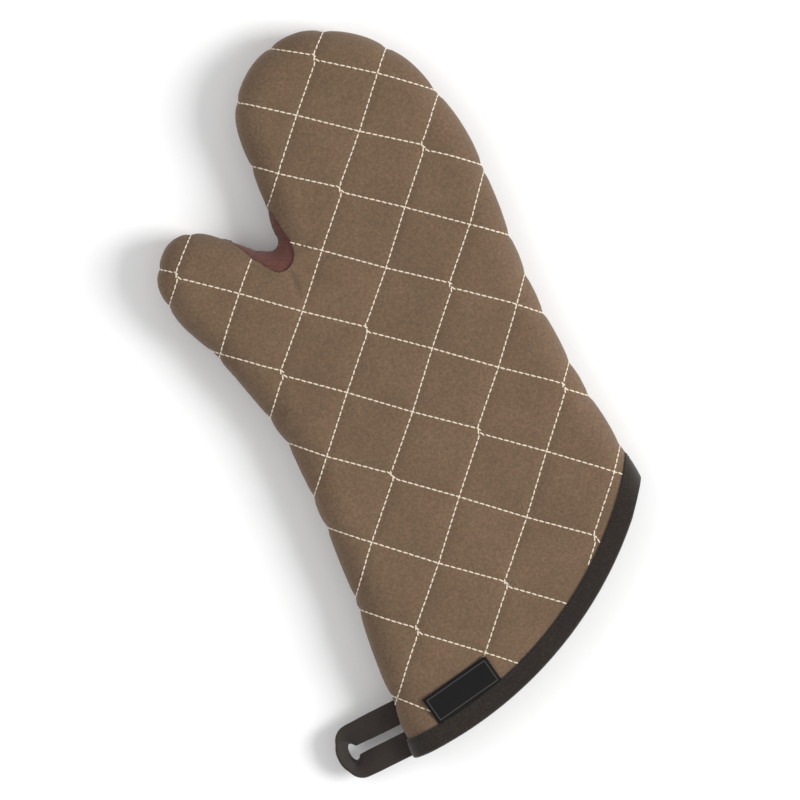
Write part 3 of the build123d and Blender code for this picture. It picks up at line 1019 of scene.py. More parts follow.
@dataclass(frozen=True)
class Twill:
    """Woven cloth with a fine diagonal rib."""

    name: str
    colour: tuple
    dark: tuple
    light: tuple
    rib: float = 0.0009
    angle: float = 58.0
    rib_share: float = 0.9
    mottle: float = 1.9
    rough: float = 0.86
    sheen: float = 0.15
    bump: float = 0.00006

    def material(self) -> bpy.types.Material:
        """Ribs, slubs and soft blotches over one colour.

        Returns:
            The material.
        """
        paint = Paint(self.name)
        ribs = paint.place("cloth", turn=self.angle)
        across = paint.axis(ribs, "X")
        waves = (across * (2.0 * math.pi / self.rib)).sine() * 0.5 + 0.5
        threads = paint.noise(paint.place("cloth", (1.0, 0.3, 1.0), self.angle), 1100.0, 2.0)
        fuzz = paint.noise(paint.place(), 620.0, 3.0)
        blotch = paint.noise(paint.place(), 26.0, 4.0)
        weave = waves * 0.4 + threads * 0.6
        share = (weave - 0.5) * self.rib_share + (fuzz - 0.5) * self.mottle + (blotch - 0.5) * 0.9
        darker = (share * -1.0).positive().minimum(1.0)
        lighter = share.positive().minimum(1.0)
        colour = paint.mixed(lighter, paint.mixed(darker, self.colour, self.dark), self.light)
        normal = paint.bumped(weave + fuzz * 0.6, self.bump, 0.8)
        return paint.finish(
            Base_Color=colour, Roughness=blotch * 0.08 + (self.rough - 0.04), Normal=normal,
            Sheen_Weight=self.sheen, Sheen_Roughness=0.5, Specular_IOR_Level=0.25,
        )


@dataclass(frozen=True)
class Webbing:
    """Narrow woven tape with cross ribs, mapped along and across the tape."""

    name: str
    colour: tuple
    light: tuple
    pitch: float = 0.0011
    across_pitch: float = 0.0016
    rough: float = 0.8
    bump: float = 0.00018

    def material(self) -> bpy.types.Material:
        """Ribs along and across, lighter on their tops and in random patches.

        Returns:
            The material.
        """
        paint = Paint(self.name)
        place = paint.place("cloth")
        along, across = paint.axis(place, "X"), paint.axis(place, "Y")
        ribs = (along * (2.0 * math.pi / self.pitch)).sine() * 0.5 + 0.5
        rows = (across * (2.0 * math.pi / self.across_pitch)).sine() * 0.5 + 0.5
        fuzz = paint.noise(paint.place(), 1800.0, 3.0)
        blotch = paint.noise(paint.place(), 60.0, 3.0)
        height = ribs * 0.55 + rows * 0.45
        share = (height * 0.45 + fuzz * 0.7 + blotch * 0.6 - 0.75).positive().minimum(1.0)
        return paint.finish(
            Base_Color=paint.mixed(share, self.colour, self.light), Roughness=fuzz * 0.12 + self.rough,
            Normal=paint.bumped(height + fuzz * 0.5, self.bump), Sheen_Weight=0.2, Specular_IOR_Level=0.25,
        )


@dataclass(frozen=True)
class Twine:
    """Twisted sewing thread."""

    name: str
    colour: tuple
    dark: tuple
    ply: float = 0.0007

    def material(self) -> bpy.types.Material:
        """Slanting plies with a soft fuzz.

        Returns:
            The material.
        """
        paint = Paint(self.name)
        place = paint.place()
        slant = paint.axis(place, "X") + paint.axis(place, "Y") * 0.8
        plies = (slant * (2.0 * math.pi / self.ply)).sine() * 0.5 + 0.5
        fuzz = paint.noise(place, 1500.0, 2.0)
        colour = paint.mixed(plies * 0.35 + fuzz * 0.3, self.colour, self.dark)
        return paint.finish(
            Base_Color=colour, Roughness=fuzz * 0.2 + 0.6,
            Normal=paint.bumped(plies + fuzz * 0.4, 0.00012), Sheen_Weight=0.1,
        )


@dataclass(frozen=True)
class Fleece:
    """Loose needled fibre or brushed cloth."""

    name: str
    colour: tuple
    dark: tuple
    scale: float = 420.0
    bump: float = 0.0005
    rough: float = 0.92
    sheen: float = 0.25

    def material(self) -> bpy.types.Material:
        """Clumped fibres at two sizes.

        Returns:
            The material.
        """
        paint = Paint(self.name)
        clumps = paint.noise(paint.place(), self.scale, 5.0)
        fibres = paint.noise(paint.place(scale=(1.0, 0.3, 1.0), turn=25.0), self.scale * 4.0, 3.0)
        share = ((clumps - 0.35) * 1.4 + (fibres - 0.5) * 0.4).positive().minimum(1.0)
        return paint.finish(
            Base_Color=paint.mixed(share, self.dark, self.colour), Roughness=fibres * 0.06 + self.rough,
            Normal=paint.bumped(clumps + fibres * 0.5, self.bump), Sheen_Weight=self.sheen,
        )


@dataclass(frozen=True)
class Film:
    """Thin coated barrier cloth."""

    name: str
    colour: tuple
    dark: tuple

    def material(self) -> bpy.types.Material:
        """Fine crinkles in a satin coat.

        Returns:
            The material.
        """
        paint = Paint(self.name)
        crinkle = paint.noise(paint.place(), 130.0, 5.0)
        return paint.finish(
            Base_Color=paint.mixed(crinkle, self.dark, self.colour), Roughness=crinkle * 0.2 + 0.35,
            Normal=paint.bumped(crinkle, 0.0006), Coat_Weight=crinkle * 0.2,
        )


@dataclass(frozen=True)
class LabelWeave:
    """Satin label cloth with a plain woven border, mapped from the label's middle."""

    name: str
    colour: tuple
    border: tuple
    half_length: float
    half_depth: float
    inset: float = 0.0021
    line: float = 0.00028
    rib_pitch: float = 0.0005
    warp_pitch: float = 0.0007

    def material(self) -> bpy.types.Material:
        """Fine rib with one thin line round the edge.

        Returns:
            The material.
        """
        paint = Paint(self.name)
        place = paint.place("cloth")
        along, across = paint.axis(place, "X"), paint.axis(place, "Y")
        rib = (across * (2.0 * math.pi / self.rib_pitch)).sine() * 0.5 + 0.5
        warp = (along * (2.0 * math.pi / self.warp_pitch)).sine() * 0.5 + 0.5
        fuzz = paint.noise(paint.place(), 2200.0, 2.0)
        to_edge = (self.half_length - along.size()).minimum(self.half_depth - across.size())
        line = (1.0 - (to_edge - self.inset).size() * (1.0 / self.line)).positive().minimum(1.0)
        base = paint.mixed(fuzz * 0.5 + rib * 0.15, self.colour, linear(34, 32, 33))
        return paint.finish(
            Base_Color=paint.mixed(line * 0.55, base, self.border), Roughness=fuzz * 0.15 + 0.7,
            Normal=paint.bumped(rib * 0.5 + warp * 0.3 + line * 0.8, 0.0001), Specular_IOR_Level=0.12,
        )


@dataclass(frozen=True)
class Sweep:
    """Matt pale sweep that the mitt lies on."""

    name: str = "pale_sweep"
    shade: float = 0.93

    def material(self) -> bpy.types.Material:
        """One even pale colour with the faintest tooth.

        Returns:
            The material.
        """
        paint = Paint(self.name)
        tooth = paint.noise(paint.place(), 90.0, 2.0)
        return paint.finish(Base_Color=(self.shade,) * 3 + (1.0,), Roughness=tooth * 0.05 + 0.9)


OUTER_CLOTH = Twill("taupe_twill", linear(105, 84, 65), linear(80, 64, 49), linear(129, 106, 84))
GUARD_CLOTH = Twill("maroon_guard_cloth", linear(96, 58, 51), linear(74, 43, 39), linear(120, 77, 69),
                    rib=0.0012)
BINDING_TAPE = Twill("dark_binding_tape", linear(35, 28, 23), linear(22, 18, 15), linear(57, 48, 41),
                     rib=0.0012, angle=45.0, sheen=0.2)
LOOP_TAPE = Webbing("loop_webbing", linear(42, 35, 32), linear(76, 66, 60))
QUILTING_THREAD = Twine("cream_thread", linear(240, 228, 208), linear(196, 178, 152))
BINDING_THREAD = Twine("dark_thread", linear(38, 34, 32), linear(24, 22, 21))
SEAM_THREAD = Twine("brown_thread", linear(100, 80, 63), linear(70, 56, 44))
# The web guard's seam thread: dark maroon, made darker still to paint the shadow line along the brown hem's
# edge.
GUARD_THREAD_AND_PAINTED_SHADOW = Twine("guard_thread", linear(66, 38, 33), linear(44, 25, 22))
LINING = Fleece("cotton_lining", linear(226, 219, 205), linear(196, 187, 170), scale=1400.0, bump=0.00012)
BATTING = Fleece("needled_batting", linear(232, 230, 222), linear(190, 188, 180))
BARRIER = Film("barrier_film", linear(182, 190, 196), linear(150, 158, 166))


# --------------------------------------------------------------------------- stitches


class StitchTree:
    """Geometry Nodes that turn sewn lines into rows of single stitches."""

    INPUTS = {"Pitch": 0.0038, "Length": 0.0041, "Width": 0.00112, "Height": 0.0009, "Jitter": 0.1}

    def __init__(self, seed: int = 7) -> None:
        """Build the tree once.

        Args:
            seed: Seed of the stitches' small turns.
        """
        self.tree = bpy.data.node_groups.new("stitch_row", "GeometryNodeTree")
        face = self.tree.interface
        face.new_socket("Lines", in_out="INPUT", socket_type="NodeSocketGeometry")
        for name, value in self.INPUTS.items():
            face.new_socket(name, in_out="INPUT", socket_type="NodeSocketFloat").default_value = value
        face.new_socket("Finish", in_out="INPUT", socket_type="NodeSocketMaterial")
        face.new_socket("Stitches", in_out="OUTPUT", socket_type="NodeSocketGeometry")
        start = self.add("NodeGroupInput")
        lines = self.add("GeometryNodeMeshToCurve", {}, {"Mesh": start.outputs["Lines"]})
        even = self.add("GeometryNodeResampleCurve", {"mode": "LENGTH"},
                        {"Curve": lines.outputs["Curve"], "Length": start.outputs["Pitch"]})
        tangent = self.add("GeometryNodeInputTangent")
        up = self.add("GeometryNodeInputNamedAttribute", {"data_type": "FLOAT_VECTOR"}, {"Name": "up"})
        along = self.add("FunctionNodeAlignRotationToVector", {"axis": "X"}, {"Vector": tangent.outputs[0]})
        level = self.add("FunctionNodeAlignRotationToVector", {"axis": "Z", "pivot_axis": "X"},
                         {"Rotation": along.outputs[0], "Vector": up.outputs["Attribute"]})
        chance = self.add("FunctionNodeRandomValue", {"data_type": "FLOAT"}, {"Seed": seed})
        self.link(start.outputs["Jitter"], chance.inputs[3])
        self.add_to(chance.inputs[2], self.scaled(start.outputs["Jitter"], -1.0))
        swing = self.add("ShaderNodeCombineXYZ", {}, {"Z": chance.outputs[1]})
        turned = self.add("FunctionNodeRotateRotation", {"rotation_space": "LOCAL"},
                          {"Rotation": level.outputs[0], "Rotate By": swing.outputs[0]})
        bead = self.add("GeometryNodeMeshUVSphere", {}, {"Segments": 6, "Rings": 5, "Radius": 0.5})
        size = self.add("ShaderNodeCombineXYZ", {}, {
            "X": start.outputs["Length"], "Y": start.outputs["Width"], "Z": start.outputs["Height"]})
        placed = self.add("GeometryNodeInstanceOnPoints", {}, {
            "Points": even.outputs["Curve"], "Instance": bead.outputs["Mesh"],
            "Rotation": turned.outputs[0], "Scale": size.outputs[0]})
        real = self.add("GeometryNodeRealizeInstances", {}, {"Geometry": placed.outputs[0]})
        smooth = self.add("GeometryNodeSetShadeSmooth", {}, {"Geometry": real.outputs[0]})
        dressed = self.add("GeometryNodeSetMaterial", {}, {
            "Geometry": smooth.outputs[0], "Material": start.outputs["Finish"]})
        end = self.add("NodeGroupOutput")
        self.link(dressed.outputs[0], end.inputs[0])

    def add(self, kind: str, settings: dict = None, inputs: dict = None) -> bpy.types.Node:
        """Add one node.

        Args:
            kind: The node's type.
            settings: Its own settings, set before its inputs.
            inputs: Values or links of its sockets, by name or number.

        Returns:
            The node.
        """
        node = self.tree.nodes.new(kind)
        for key, value in (settings or {}).items():
            setattr(node, key, value)
        for key, value in (inputs or {}).items():
            self.add_to(node.inputs[key], value)
        return node

    def add_to(self, socket: bpy.types.NodeSocket, value: object) -> None:
        """Link or set one socket.

        Args:
            socket: The socket.
            value: Another socket or a plain value.
        """
        if isinstance(value, bpy.types.NodeSocket):
            self.link(value, socket)
        else:
            socket.default_value = value

    def scaled(self, socket: bpy.types.NodeSocket, factor: float) -> bpy.types.NodeSocket:
        """A number times a factor."""
        return self.add("ShaderNodeMath", {"operation": "MULTIPLY"}, {0: socket, 1: factor}).outputs[0]

    def link(self, start: bpy.types.NodeSocket, end: bpy.types.NodeSocket) -> None:
        """Join two sockets."""
        self.tree.links.new(start, end)

    def sew(self, name: str, runs: list, finish: bpy.types.Material, **sizes: float) -> bpy.types.Object:
        """Rows of stitches along runs of points.

        Args:
            name: The piece's name.
            runs: Pairs of arrays, of the points of one row and of their upward directions.
            finish: The thread's material.
            sizes: Any of the tree's named sizes that differ.

        Returns:
            The stitches as a plain mesh.
        """
        verts = np.concatenate([points for points, _ in runs])
        ups = np.concatenate([up for _, up in runs])
        edges, at = [], 0
        for points, _ in runs:
            edges += [(at + k, at + k + 1) for k in range(len(points) - 1)]
            at += len(points)
        mesh = bpy.data.meshes.new(name + "_lines")
        mesh.from_pydata([tuple(v) for v in verts], edges, [])
        upward = mesh.attributes.new("up", "FLOAT_VECTOR", "POINT")
        upward.data.foreach_set("vector", ups.astype(np.float32).ravel())
        guide = in_scene(name + "_lines", mesh)
        modifier = guide.modifiers.new("stitches", "NODES")
        modifier.node_group = self.tree
        sockets = {item.name: item.identifier for item in self.tree.interface.items_tree}
        for key, value in {**self.INPUTS, **sizes}.items():
            modifier[sockets[key]] = value
        modifier[sockets["Finish"]] = finish
        bpy.context.view_layer.update()
        plain = bpy.data.meshes.new_from_object(guide.evaluated_get(bpy.context.evaluated_depsgraph_get()))
        plain.name = name
        bpy.data.objects.remove(guide)
        return in_scene(name, plain)


# --------------------------------------------------------------------------- the quilted shell


@dataclass(frozen=True)
class Ply:
    """One layer of the mitt's wall, from its outer to its inner depth."""

    name: str
    start: float
    end: float
    start_pressed: float
    end_pressed: float
    start_relief: float
    end_relief: float


@dataclass
class Shell:
    """The mitt's two quilted panels, layer by layer, with their seams and sewing."""

    form: Form
    stitches: StitchTree
    spacing: float = 1.9 * MM
    quilting_above: float = 0.05 * MM
    stitch_inset: float = 1.0 * MM
    seam_thread: float = 0.38 * MM
    guard_recess: float = 0.05 * MM
    guard_cloth: float = 0.8 * MM
    guard_clear: float = 0.65 * MM
    guard_seam_shift: float = 0.1 * MM
    guard_seam_end: float = 0.6 * MM
    edge_clear: float = 0.25 * MM
    binding_clear: float = 1.2 * MM
    tube_sides: int = 8
    finger_x: float = 0.059
    finger_bend: tuple = (131.0, 186.0)
    thumb_bend: float = 40.0
    face_z: float = 0.038
    plies: tuple = (
        Ply("outer", 0.0, 0.8, 1.1, 1.1, 1.0, 1.0),
        Ply("vapour_barrier", 0.9, 1.1, 1.1, 1.1, 1.0, 1.0),
        Ply("batting", 1.2, 5.4, 1.1, -1.1, 1.0, 0.3),
        Ply("lining", 5.5, 6.3, -1.1, -1.1, 0.3, 0.3),
    )

    def __post_init__(self) -> None:
        """Lay out the net that every layer shares."""
        self.net = Weaver(self.form, self.spacing)
        LOG.info("net of %d points", len(self.net.plan))

    def side_of(self, skin: Skin) -> np.ndarray:
        """1 for the triangles of the top panel, -1 for those of the bottom one."""
        middle = skin.verts[skin.triangles].mean(axis=1)
        return np.where(middle[:, 2] > self.form.height / 2.0, 1, -1)

    def area_of(self, skin: Skin, guarded: bool) -> dict:
        """Masks of the skin's triangles, by area.

        Args:
            skin: The surface.
            guarded: Whether the web guard is cut out of it.

        Returns:
            A mask for each area.
        """
        middle = skin.plan[skin.triangles].mean(axis=1)
        thumb = self.form.pattern.on_thumb(middle)
        guard = self.form.pattern.in_guard(middle) & guarded
        return {Area.HAND: ~thumb & ~guard, Area.THUMB: thumb & ~guard, Area.GUARD: guard}

    def bend(self, piece: bpy.types.Object, area: Area) -> None:
        """Bake a piece's placement into its mesh, without bending it.

        Args:
            piece: The piece.
            area: The hand or any other area; both are baked the same way.
        """
        if area is Area.HAND:
            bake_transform(piece)
            return
        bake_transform(piece)

    def nodes(self, ply: str, side: Side, area: Area) -> list:
        """Names of the plain solids that a piece stands for.

        Args:
            ply: The layer's name.
            side: Which face.
            area: The hand or the thumb.

        Returns:
            One name for the thumb, or two for the hand with its fingers.
        """
        parts = ("hand", "fingers") if area is Area.HAND else ("thumb",)
        return [f"{ply}_{side.word}_{part}" for part in parts]

    def build_ply(self, ply: Ply, finish: bpy.types.Material) -> None:
        """Make the four pieces of one layer.

        Args:
            ply: The layer.
            finish: Its material.
        """
        shows = ply.name == "outer"
        outer = self.net.skin(ply.start * MM, ply.start_pressed * MM, ply.start_relief, shows)
        inner = self.net.skin(ply.end * MM, ply.end_pressed * MM, ply.end_relief, shows)
        sides, areas = self.side_of(outer), self.area_of(outer, shows)
        for side in Side:
            for area in (Area.HAND, Area.THUMB):
                chosen = areas[area] & (sides == side.value)
                piece = thick_piece(f"{ply.name}_{side.word}_{area.value}_panel", outer, inner, chosen)
                piece.data.materials.append(finish)
                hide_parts(*self.nodes(ply.name, side, area))
                self.bend(piece, area)
                if ply.name == "batting":
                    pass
                else:
                    declare_cloth(piece, outer, chosen)
        if shows:
            self.build_guard(outer, areas[Area.GUARD])

    def build_guard(self, brown: Skin, chosen: np.ndarray) -> None:
        """Make the web guard, let in a little below the brown cloth round it.

        Args:
            brown: The surface of the brown cloth, which gives the guard's flat size.
            chosen: Which of its triangles the guard covers.
        """
        sunk = [self.net.skin(self.guard_recess + depth, 0.0, 1.0) for depth in (0.0, self.guard_cloth)]
        piece = thick_piece("web_guard_patch", sunk[0], sunk[1], chosen)
        piece.data.materials.append(GUARD_CLOTH.material())
        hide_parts("web_guard")
        self.bend(piece, Area.THUMB)
        declare_cloth(piece, brown, chosen)

    def lifted(self, points: np.ndarray, side: Side, above: float) -> tuple:
        """Points in plan laid on the outer cloth.

        Args:
            points: Points in plan.
            side: Which face.
            above: How far above the cloth.

        Returns:
            Their places and upward directions.
        """
        relief = self.form.relief(points, side)
        if side is Side.TOP:
            relief = relief + self.form.hem_rise(points)
        return self.form.surface(points, side, -above, self.form.bound_press, relief)

    def quilt(self) -> None:
        """Sew the diamond grid through both panels."""
        pattern = self.form.pattern
        finish = QUILTING_THREAD.material()
        for side in Side:
            rows = {Area.HAND: [], Area.THUMB: []}
            for line in self.form.sewn_lines:
                depths, _ = pattern.depth(line)
                clear = (self.form.signed_guard(line) > self.stitch_inset) & (depths > self.edge_clear)
                clear &= pattern.from_cuff(line) < pattern.binding_radius - self.binding_clear
                label = np.where(clear, np.where(pattern.on_thumb(line), 2, 1), 0)
                for run in split_runs(label):
                    if label[run[0]] and len(run) > 3:
                        area = Area.THUMB if label[run[0]] == 2 else Area.HAND
                        rows[area].append(self.lifted(line[run], side, self.quilting_above))
            for area, runs in rows.items():
                piece = self.stitches.sew(f"quilting_{side.word}_{area.value}_stitches", runs, finish)
                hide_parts(*self.nodes("quilting", side, area))
                self.bend(piece, area)
                LOG.info("%s has %d rows", piece.name, len(runs))

    def close_seam(self) -> None:
        """Run the side seam's thread round the edge between the two panels."""
        pattern = self.form.pattern
        rim = self.net.rim_points()
        inside = pattern.in_guard(rim)
        label = np.where(pattern.on_thumb(rim) & ~inside, 1, 0)
        finish = SEAM_THREAD.material()
        runs = {0: [], 1: []}
        for run in split_runs(label):
            reach = np.append(run, run[-1] + 1)
            runs[label[run[0]]].append(rim[reach[reach < len(rim)]])
        for kind, lines in runs.items():
            verts, faces = [], []
            for line in lines:
                _, inward = pattern.depth(line)
                out = np.column_stack([-inward, np.zeros(len(line))])
                places, _ = self.lifted(line, Side.TOP, self.seam_thread * 0.4)
                middle = np.column_stack([places[:, :2], np.full(len(line), self.form.height / 2.0)])
                self.tube(verts, faces, middle, out)
            name = "side_seam_thumb_cord" if kind else "side_seam_cord"
            piece = mesh_object(name, np.concatenate(verts), faces)
            piece.data.materials.append(finish)
            nodes = ["side_seam_thumb"] if kind else ["side_seam_hand", "side_seam_fingers"]
            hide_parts(*nodes)
            self.bend(piece, Area.THUMB if kind else Area.HAND)

    def tube(self, verts: list, faces: list, middle: np.ndarray, out: np.ndarray) -> None:
        """Add a closed round cord along a run of points.

        Args:
            verts: Arrays of points so far, which it adds to.
            faces: Faces so far, which it adds to.
            middle: The run.
            out: A direction square to the run at each point.
        """
        sides = self.tube_sides
        base = sum(len(part) for part in verts)
        angles = np.arange(sides) * 2.0 * math.pi / sides
        up = np.array([0.0, 0.0, 1.0])
        circle = np.cos(angles)[None, :, None] * out[:, None] + np.sin(angles)[None, :, None] * up
        verts.append((middle[:, None] + circle * self.seam_thread).reshape(-1, 3))
        count = len(middle)
        for k in range(count - 1):
            for s in range(sides):
                a, b = base + k * sides + s, base + k * sides + (s + 1) % sides
                faces.append((a, a + sides, b + sides, b))
        faces.append([base + s for s in range(sides)])
        faces.append([base + (count - 1) * sides + s for s in reversed(range(sides))])

    def sew_guard(self) -> None:
        """A row of dark stitches along the guard's edge, on both faces, none of them below the table; the
        thread is darker than the real seam, to paint the hem's shadow line.
        """
        pattern = self.form.pattern
        line = finely(pattern.guard_line, 0.8 * MM)
        run = np.gradient(line, axis=0)
        line = line + turned_left(unit(run)) * self.guard_seam_shift
        depths, _ = pattern.depth(line)
        line = line[depths > self.guard_seam_end]
        rows = []
        for side in Side:
            places, upward = self.lifted(line, side, -self.guard_recess)
            places[:, 2] = np.maximum(places[:, 2], self.guard_clear)
            rows.append((places, upward))
        # Dark stitches that are the guard's seam and also a painted shadow line at the hem's edge.
        piece = self.stitches.sew("web_guard_stitches", rows, GUARD_THREAD_AND_PAINTED_SHADOW.material(),
                                  Pitch=0.0026, Length=0.0029, Width=0.0009, Height=0.0010)
        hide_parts("web_guard_stitching")
        self.bend(piece, Area.THUMB)


# --------------------------------------------------------------------------- cuff, label and loop


@dataclass
class Cuff:
    """The bias tape folded over the cuff, with its row of stitches."""

    form: Form
    stitches: StitchTree
    steps: int = 210
    tape: float = 1.0 * MM
    tape_width: float = 0.030
    inner_depth: float = 5.3 * MM
    tucked_depth: float = 1.0 * MM
    stitch_inset: float = 2.0 * MM
    stitch_above: float = 0.1 * MM
    stitch_clear: float = 0.25 * MM
    table_gap: float = 0.02 * MM
    puff: float = 0.25 * MM
    bulges: tuple = ((1.2, 0.3), (2.0, -0.2), (2.9, 0.4), (4.6, 0.9), (6.6, 1.0), (8.6, 0.8), (10.3, 0.4),
                     (11.3, 0.0))
    search: tuple = (math.radians(-100.0), math.radians(-20.0), 4001)
    halvings: int = 24
    measured_row: int = 5

    def ends(self, radius: float) -> tuple:
        """Angles at which a circle round the cuff's centre crosses the outline.

        Args:
            radius: The circle's radius.

        Returns:
            The first and the last angle.
        """
        angles = np.linspace(*self.search)
        depths, _ = self.form.pattern.depth(self.form.pattern.round_cuff(radius, angles))
        inside = np.nonzero(depths >= 0.0)[0]
        first = self.crossing(radius, angles[inside[0] - 1], angles[inside[0]])
        last = self.crossing(radius, angles[inside[-1] + 1], angles[inside[-1]])
        return first, last

    def crossing(self, radius: float, outside: float, inside: float) -> float:
        """The angle between two at which a circle crosses the outline.

        Args:
            radius: The circle's radius.
            outside: An angle outside the outline.
            inside: An angle inside it.

        Returns:
            The crossing, a hair inside.
        """
        for _ in range(self.halvings):
            middle = (outside + inside) / 2.0
            point = self.form.pattern.centre + radius * np.array([[math.cos(middle), math.sin(middle)]])
            if self.form.pattern.depth(point)[0][0] >= 0.0:
                inside = middle
            else:
                outside = middle
        return inside

    def ring(self, radius: float, depth: float) -> tuple:
        """Points round the cuff at a radius and a depth below the outer form.

        Args:
            radius: Distance from the cuff's centre, in plan.
            depth: Depth below the plain form.

        Returns:
            Their places, and the outward normals of the form there.
        """
        first, last = self.ends(radius)
        share = (1.0 - np.cos(np.linspace(0.0, math.pi, self.steps))) / 2.0
        angles = first + (last - first) * share
        plan = self.form.pattern.round_cuff(radius, angles)
        top, top_up, _ = self.form.base(plan, Side.TOP)
        low, low_up, _ = self.form.base(plan[::-1], Side.BOTTOM)
        places = np.concatenate([top, low[1:-1]])
        normals = np.concatenate([top_up, low_up[1:-1]])
        return places - normals * depth, normals

    def profile(self) -> list:
        """The tape's cross-section, along its outer face and then back along its inner one.

        Returns:
            Radius and depth of each of its lines.
        """
        lip, edge = self.form.pattern.lip_radius, self.form.pattern.binding_radius
        face = [(edge, 0.95 * MM), (edge, 0.3 * MM), (edge + 0.35 * MM, 0.02 * MM)]
        face += [(edge + step * MM, -self.puff * bulge) for step, bulge in self.bulges]
        half = (self.inner_depth + self.tape) / 2.0
        for k in range(1, 10):
            angle = math.pi * k / 10.0
            face.append((lip - 1.4 * MM + 1.4 * MM * math.sin(angle), half - half * math.cos(angle)))
        face += [(lip - step * MM, self.inner_depth + self.tape) for step in (2.2, 4.5, 7.5, 10.0)]
        face += [(lip - 11.0 * MM, self.inner_depth + self.tape * 0.5), (lip - 10.6 * MM, self.inner_depth)]
        back = [(lip - step * MM, self.inner_depth) for step in (7.5, 4.0, 2.2)]
        for k in range(1, 6):
            angle = math.pi * (1.0 - k / 6.0)
            inner = half - self.tape
            back.append((lip - 1.9 * MM + 0.7 * MM * math.sin(angle), half - inner * math.cos(angle)))
        back += [(radius, self.tucked_depth) for radius in (lip - 2.4 * MM, lip - 6.0 * MM, edge + 1.0 * MM)]
        return face + back

    def build(self) -> None:
        """Make the tape and sew it."""
        rows, lengths = [], [0.0]
        steps = self.profile()
        for radius, depth in steps:
            rows.append(self.ring(radius, depth)[0])
        for (r0, d0), (r1, d1) in zip(steps, steps[1:]):
            lengths.append(lengths[-1] + math.hypot(r1 - r0, d1 - d0))
        count = len(rows[0])
        verts = np.concatenate(rows)
        verts[:, 2] = np.maximum(verts[:, 2], self.table_gap)
        run = run_along(rows[self.measured_row])
        flat = np.concatenate([np.column_stack([run, np.full(count, v)]) for v in lengths])
        faces = []
        for r in range(len(rows)):
            nxt = (r + 1) % len(rows)
            for k in range(count):
                after = (k + 1) % count
                faces.append((r * count + k, nxt * count + k, nxt * count + after, r * count + after))
        piece = mesh_object("cuff_binding_tape", verts, faces, flat=flat)
        outward(piece)
        piece.data.materials.append(BINDING_TAPE.material())
        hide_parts("cuff_binding")
        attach(piece, "hand")
        self.sew()

    def sew(self) -> None:
        """One row of dark stitches round the tape's free edge."""
        radius = self.form.pattern.binding_radius + self.stitch_inset
        places, normals = self.ring(radius, -self.stitch_above)
        places, normals = np.vstack([places, places[:1]]), np.vstack([normals, normals[:1]])
        places[:, 2] = np.maximum(places[:, 2], self.stitch_clear)
        piece = self.stitches.sew("cuff_binding_stitches", [(places, normals)], BINDING_THREAD.material(),
                                  Pitch=0.0031, Length=0.0024, Width=0.0006, Height=0.0004)
        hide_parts("cuff_binding_stitching")
        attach(piece, "hand")


def outward(piece: bpy.types.Object) -> None:
    """Turn a closed mesh's faces outwards.

    Args:
        piece: The object with the mesh.
    """
    work = bmesh.new()
    work.from_mesh(piece.data)
    bmesh.ops.recalc_face_normals(work, faces=work.faces)
    work.to_mesh(piece.data)
    work.free()


@dataclass
class Label:
    """A plain woven label, sewn in along the binding."""

    form: Form
    length: float = 47.0 * MM
    depth: float = 18.6 * MM
    cloth: float = 0.45 * MM
    lift: float = 0.35 * MM
    corner: tuple = (-58.9, 14.2)
    end: tuple = (-12.2, 20.4)
    step: float = 1.5 * MM
    tuck: float = 1.4 * MM
    pressed: float = 0.9 * MM
    relief_share: float = 0.25
    free_from: float = 2.0 * MM
    free_to: float = 16.0 * MM
    curl: float = 0.5 * MM
    ripple: float = 0.12 * MM
    ripple_length: float = 0.0075
    hinge_run: float = 1.8 * MM
    hinge_z: float = 0.0388

    def build(self) -> None:
        """Make the label."""
        half_length = self.form.pattern.half_length
        start = (np.array(self.corner) - [0.0, half_length]) * MM
        along = unit(np.array(self.end) - np.array(self.corner))
        up = turned_left(along)
        us = np.linspace(0.0, self.length, int(self.length / self.step) + 1)
        vs = np.linspace(-self.tuck, self.depth - self.tuck, int(self.depth / self.step) + 1)
        grid_u, grid_v = np.meshgrid(us, vs)
        plan = start + grid_u.reshape(-1, 1) * along + grid_v.reshape(-1, 1) * up
        relief = self.form.relief(plan, Side.TOP)
        places, _ = self.form.surface(plan, Side.TOP, 0.0, self.pressed, relief * self.relief_share)
        free = smoothstep(self.free_from, self.free_to, grid_v.ravel())
        side = np.abs(grid_u.ravel() / self.length - 0.5) * 2.0
        curl = self.curl * free * (0.3 + 0.7 * side**2)
        curl = curl + self.ripple * np.sin(grid_u.ravel() / self.ripple_length)
        places[:, 2] += self.lift + curl
        count = len(places)
        low, high = places, places + [0.0, 0.0, self.cloth]
        columns, rows = len(us), len(vs)
        quads = [(r * columns + c, r * columns + c + 1, (r + 1) * columns + c + 1, (r + 1) * columns + c)
                 for r in range(rows - 1) for c in range(columns - 1)]
        faces = [tuple(i + count for i in q) for q in quads] + [tuple(reversed(q)) for q in quads]
        rim = list(range(columns)) + [r * columns + columns - 1 for r in range(1, rows)]
        rim += [(rows - 1) * columns + c for c in reversed(range(columns - 1))]
        rim += [r * columns for r in reversed(range(1, rows - 1))]
        faces += [(a, b, b + count, a + count) for a, b in zip(rim, rim[1:] + rim[:1])]
        flat_u = grid_u.ravel() - self.length / 2.0
        flat_v = grid_v.ravel() + self.tuck - self.depth / 2.0
        flat = np.column_stack([flat_u, flat_v])
        both = np.concatenate([low, high])
        piece = mesh_object("blank_label", both, faces, flat=np.concatenate([flat, flat]))
        outward(piece)
        woven = LabelWeave("label_satin", linear(20, 19, 20), linear(120, 116, 112),
                           self.length / 2.0, self.depth / 2.0)
        piece.data.materials.append(woven.material())
        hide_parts("label")
        hinge = start + along * self.length / 2.0
        past = hinge + up * self.hinge_run
        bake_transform(piece)


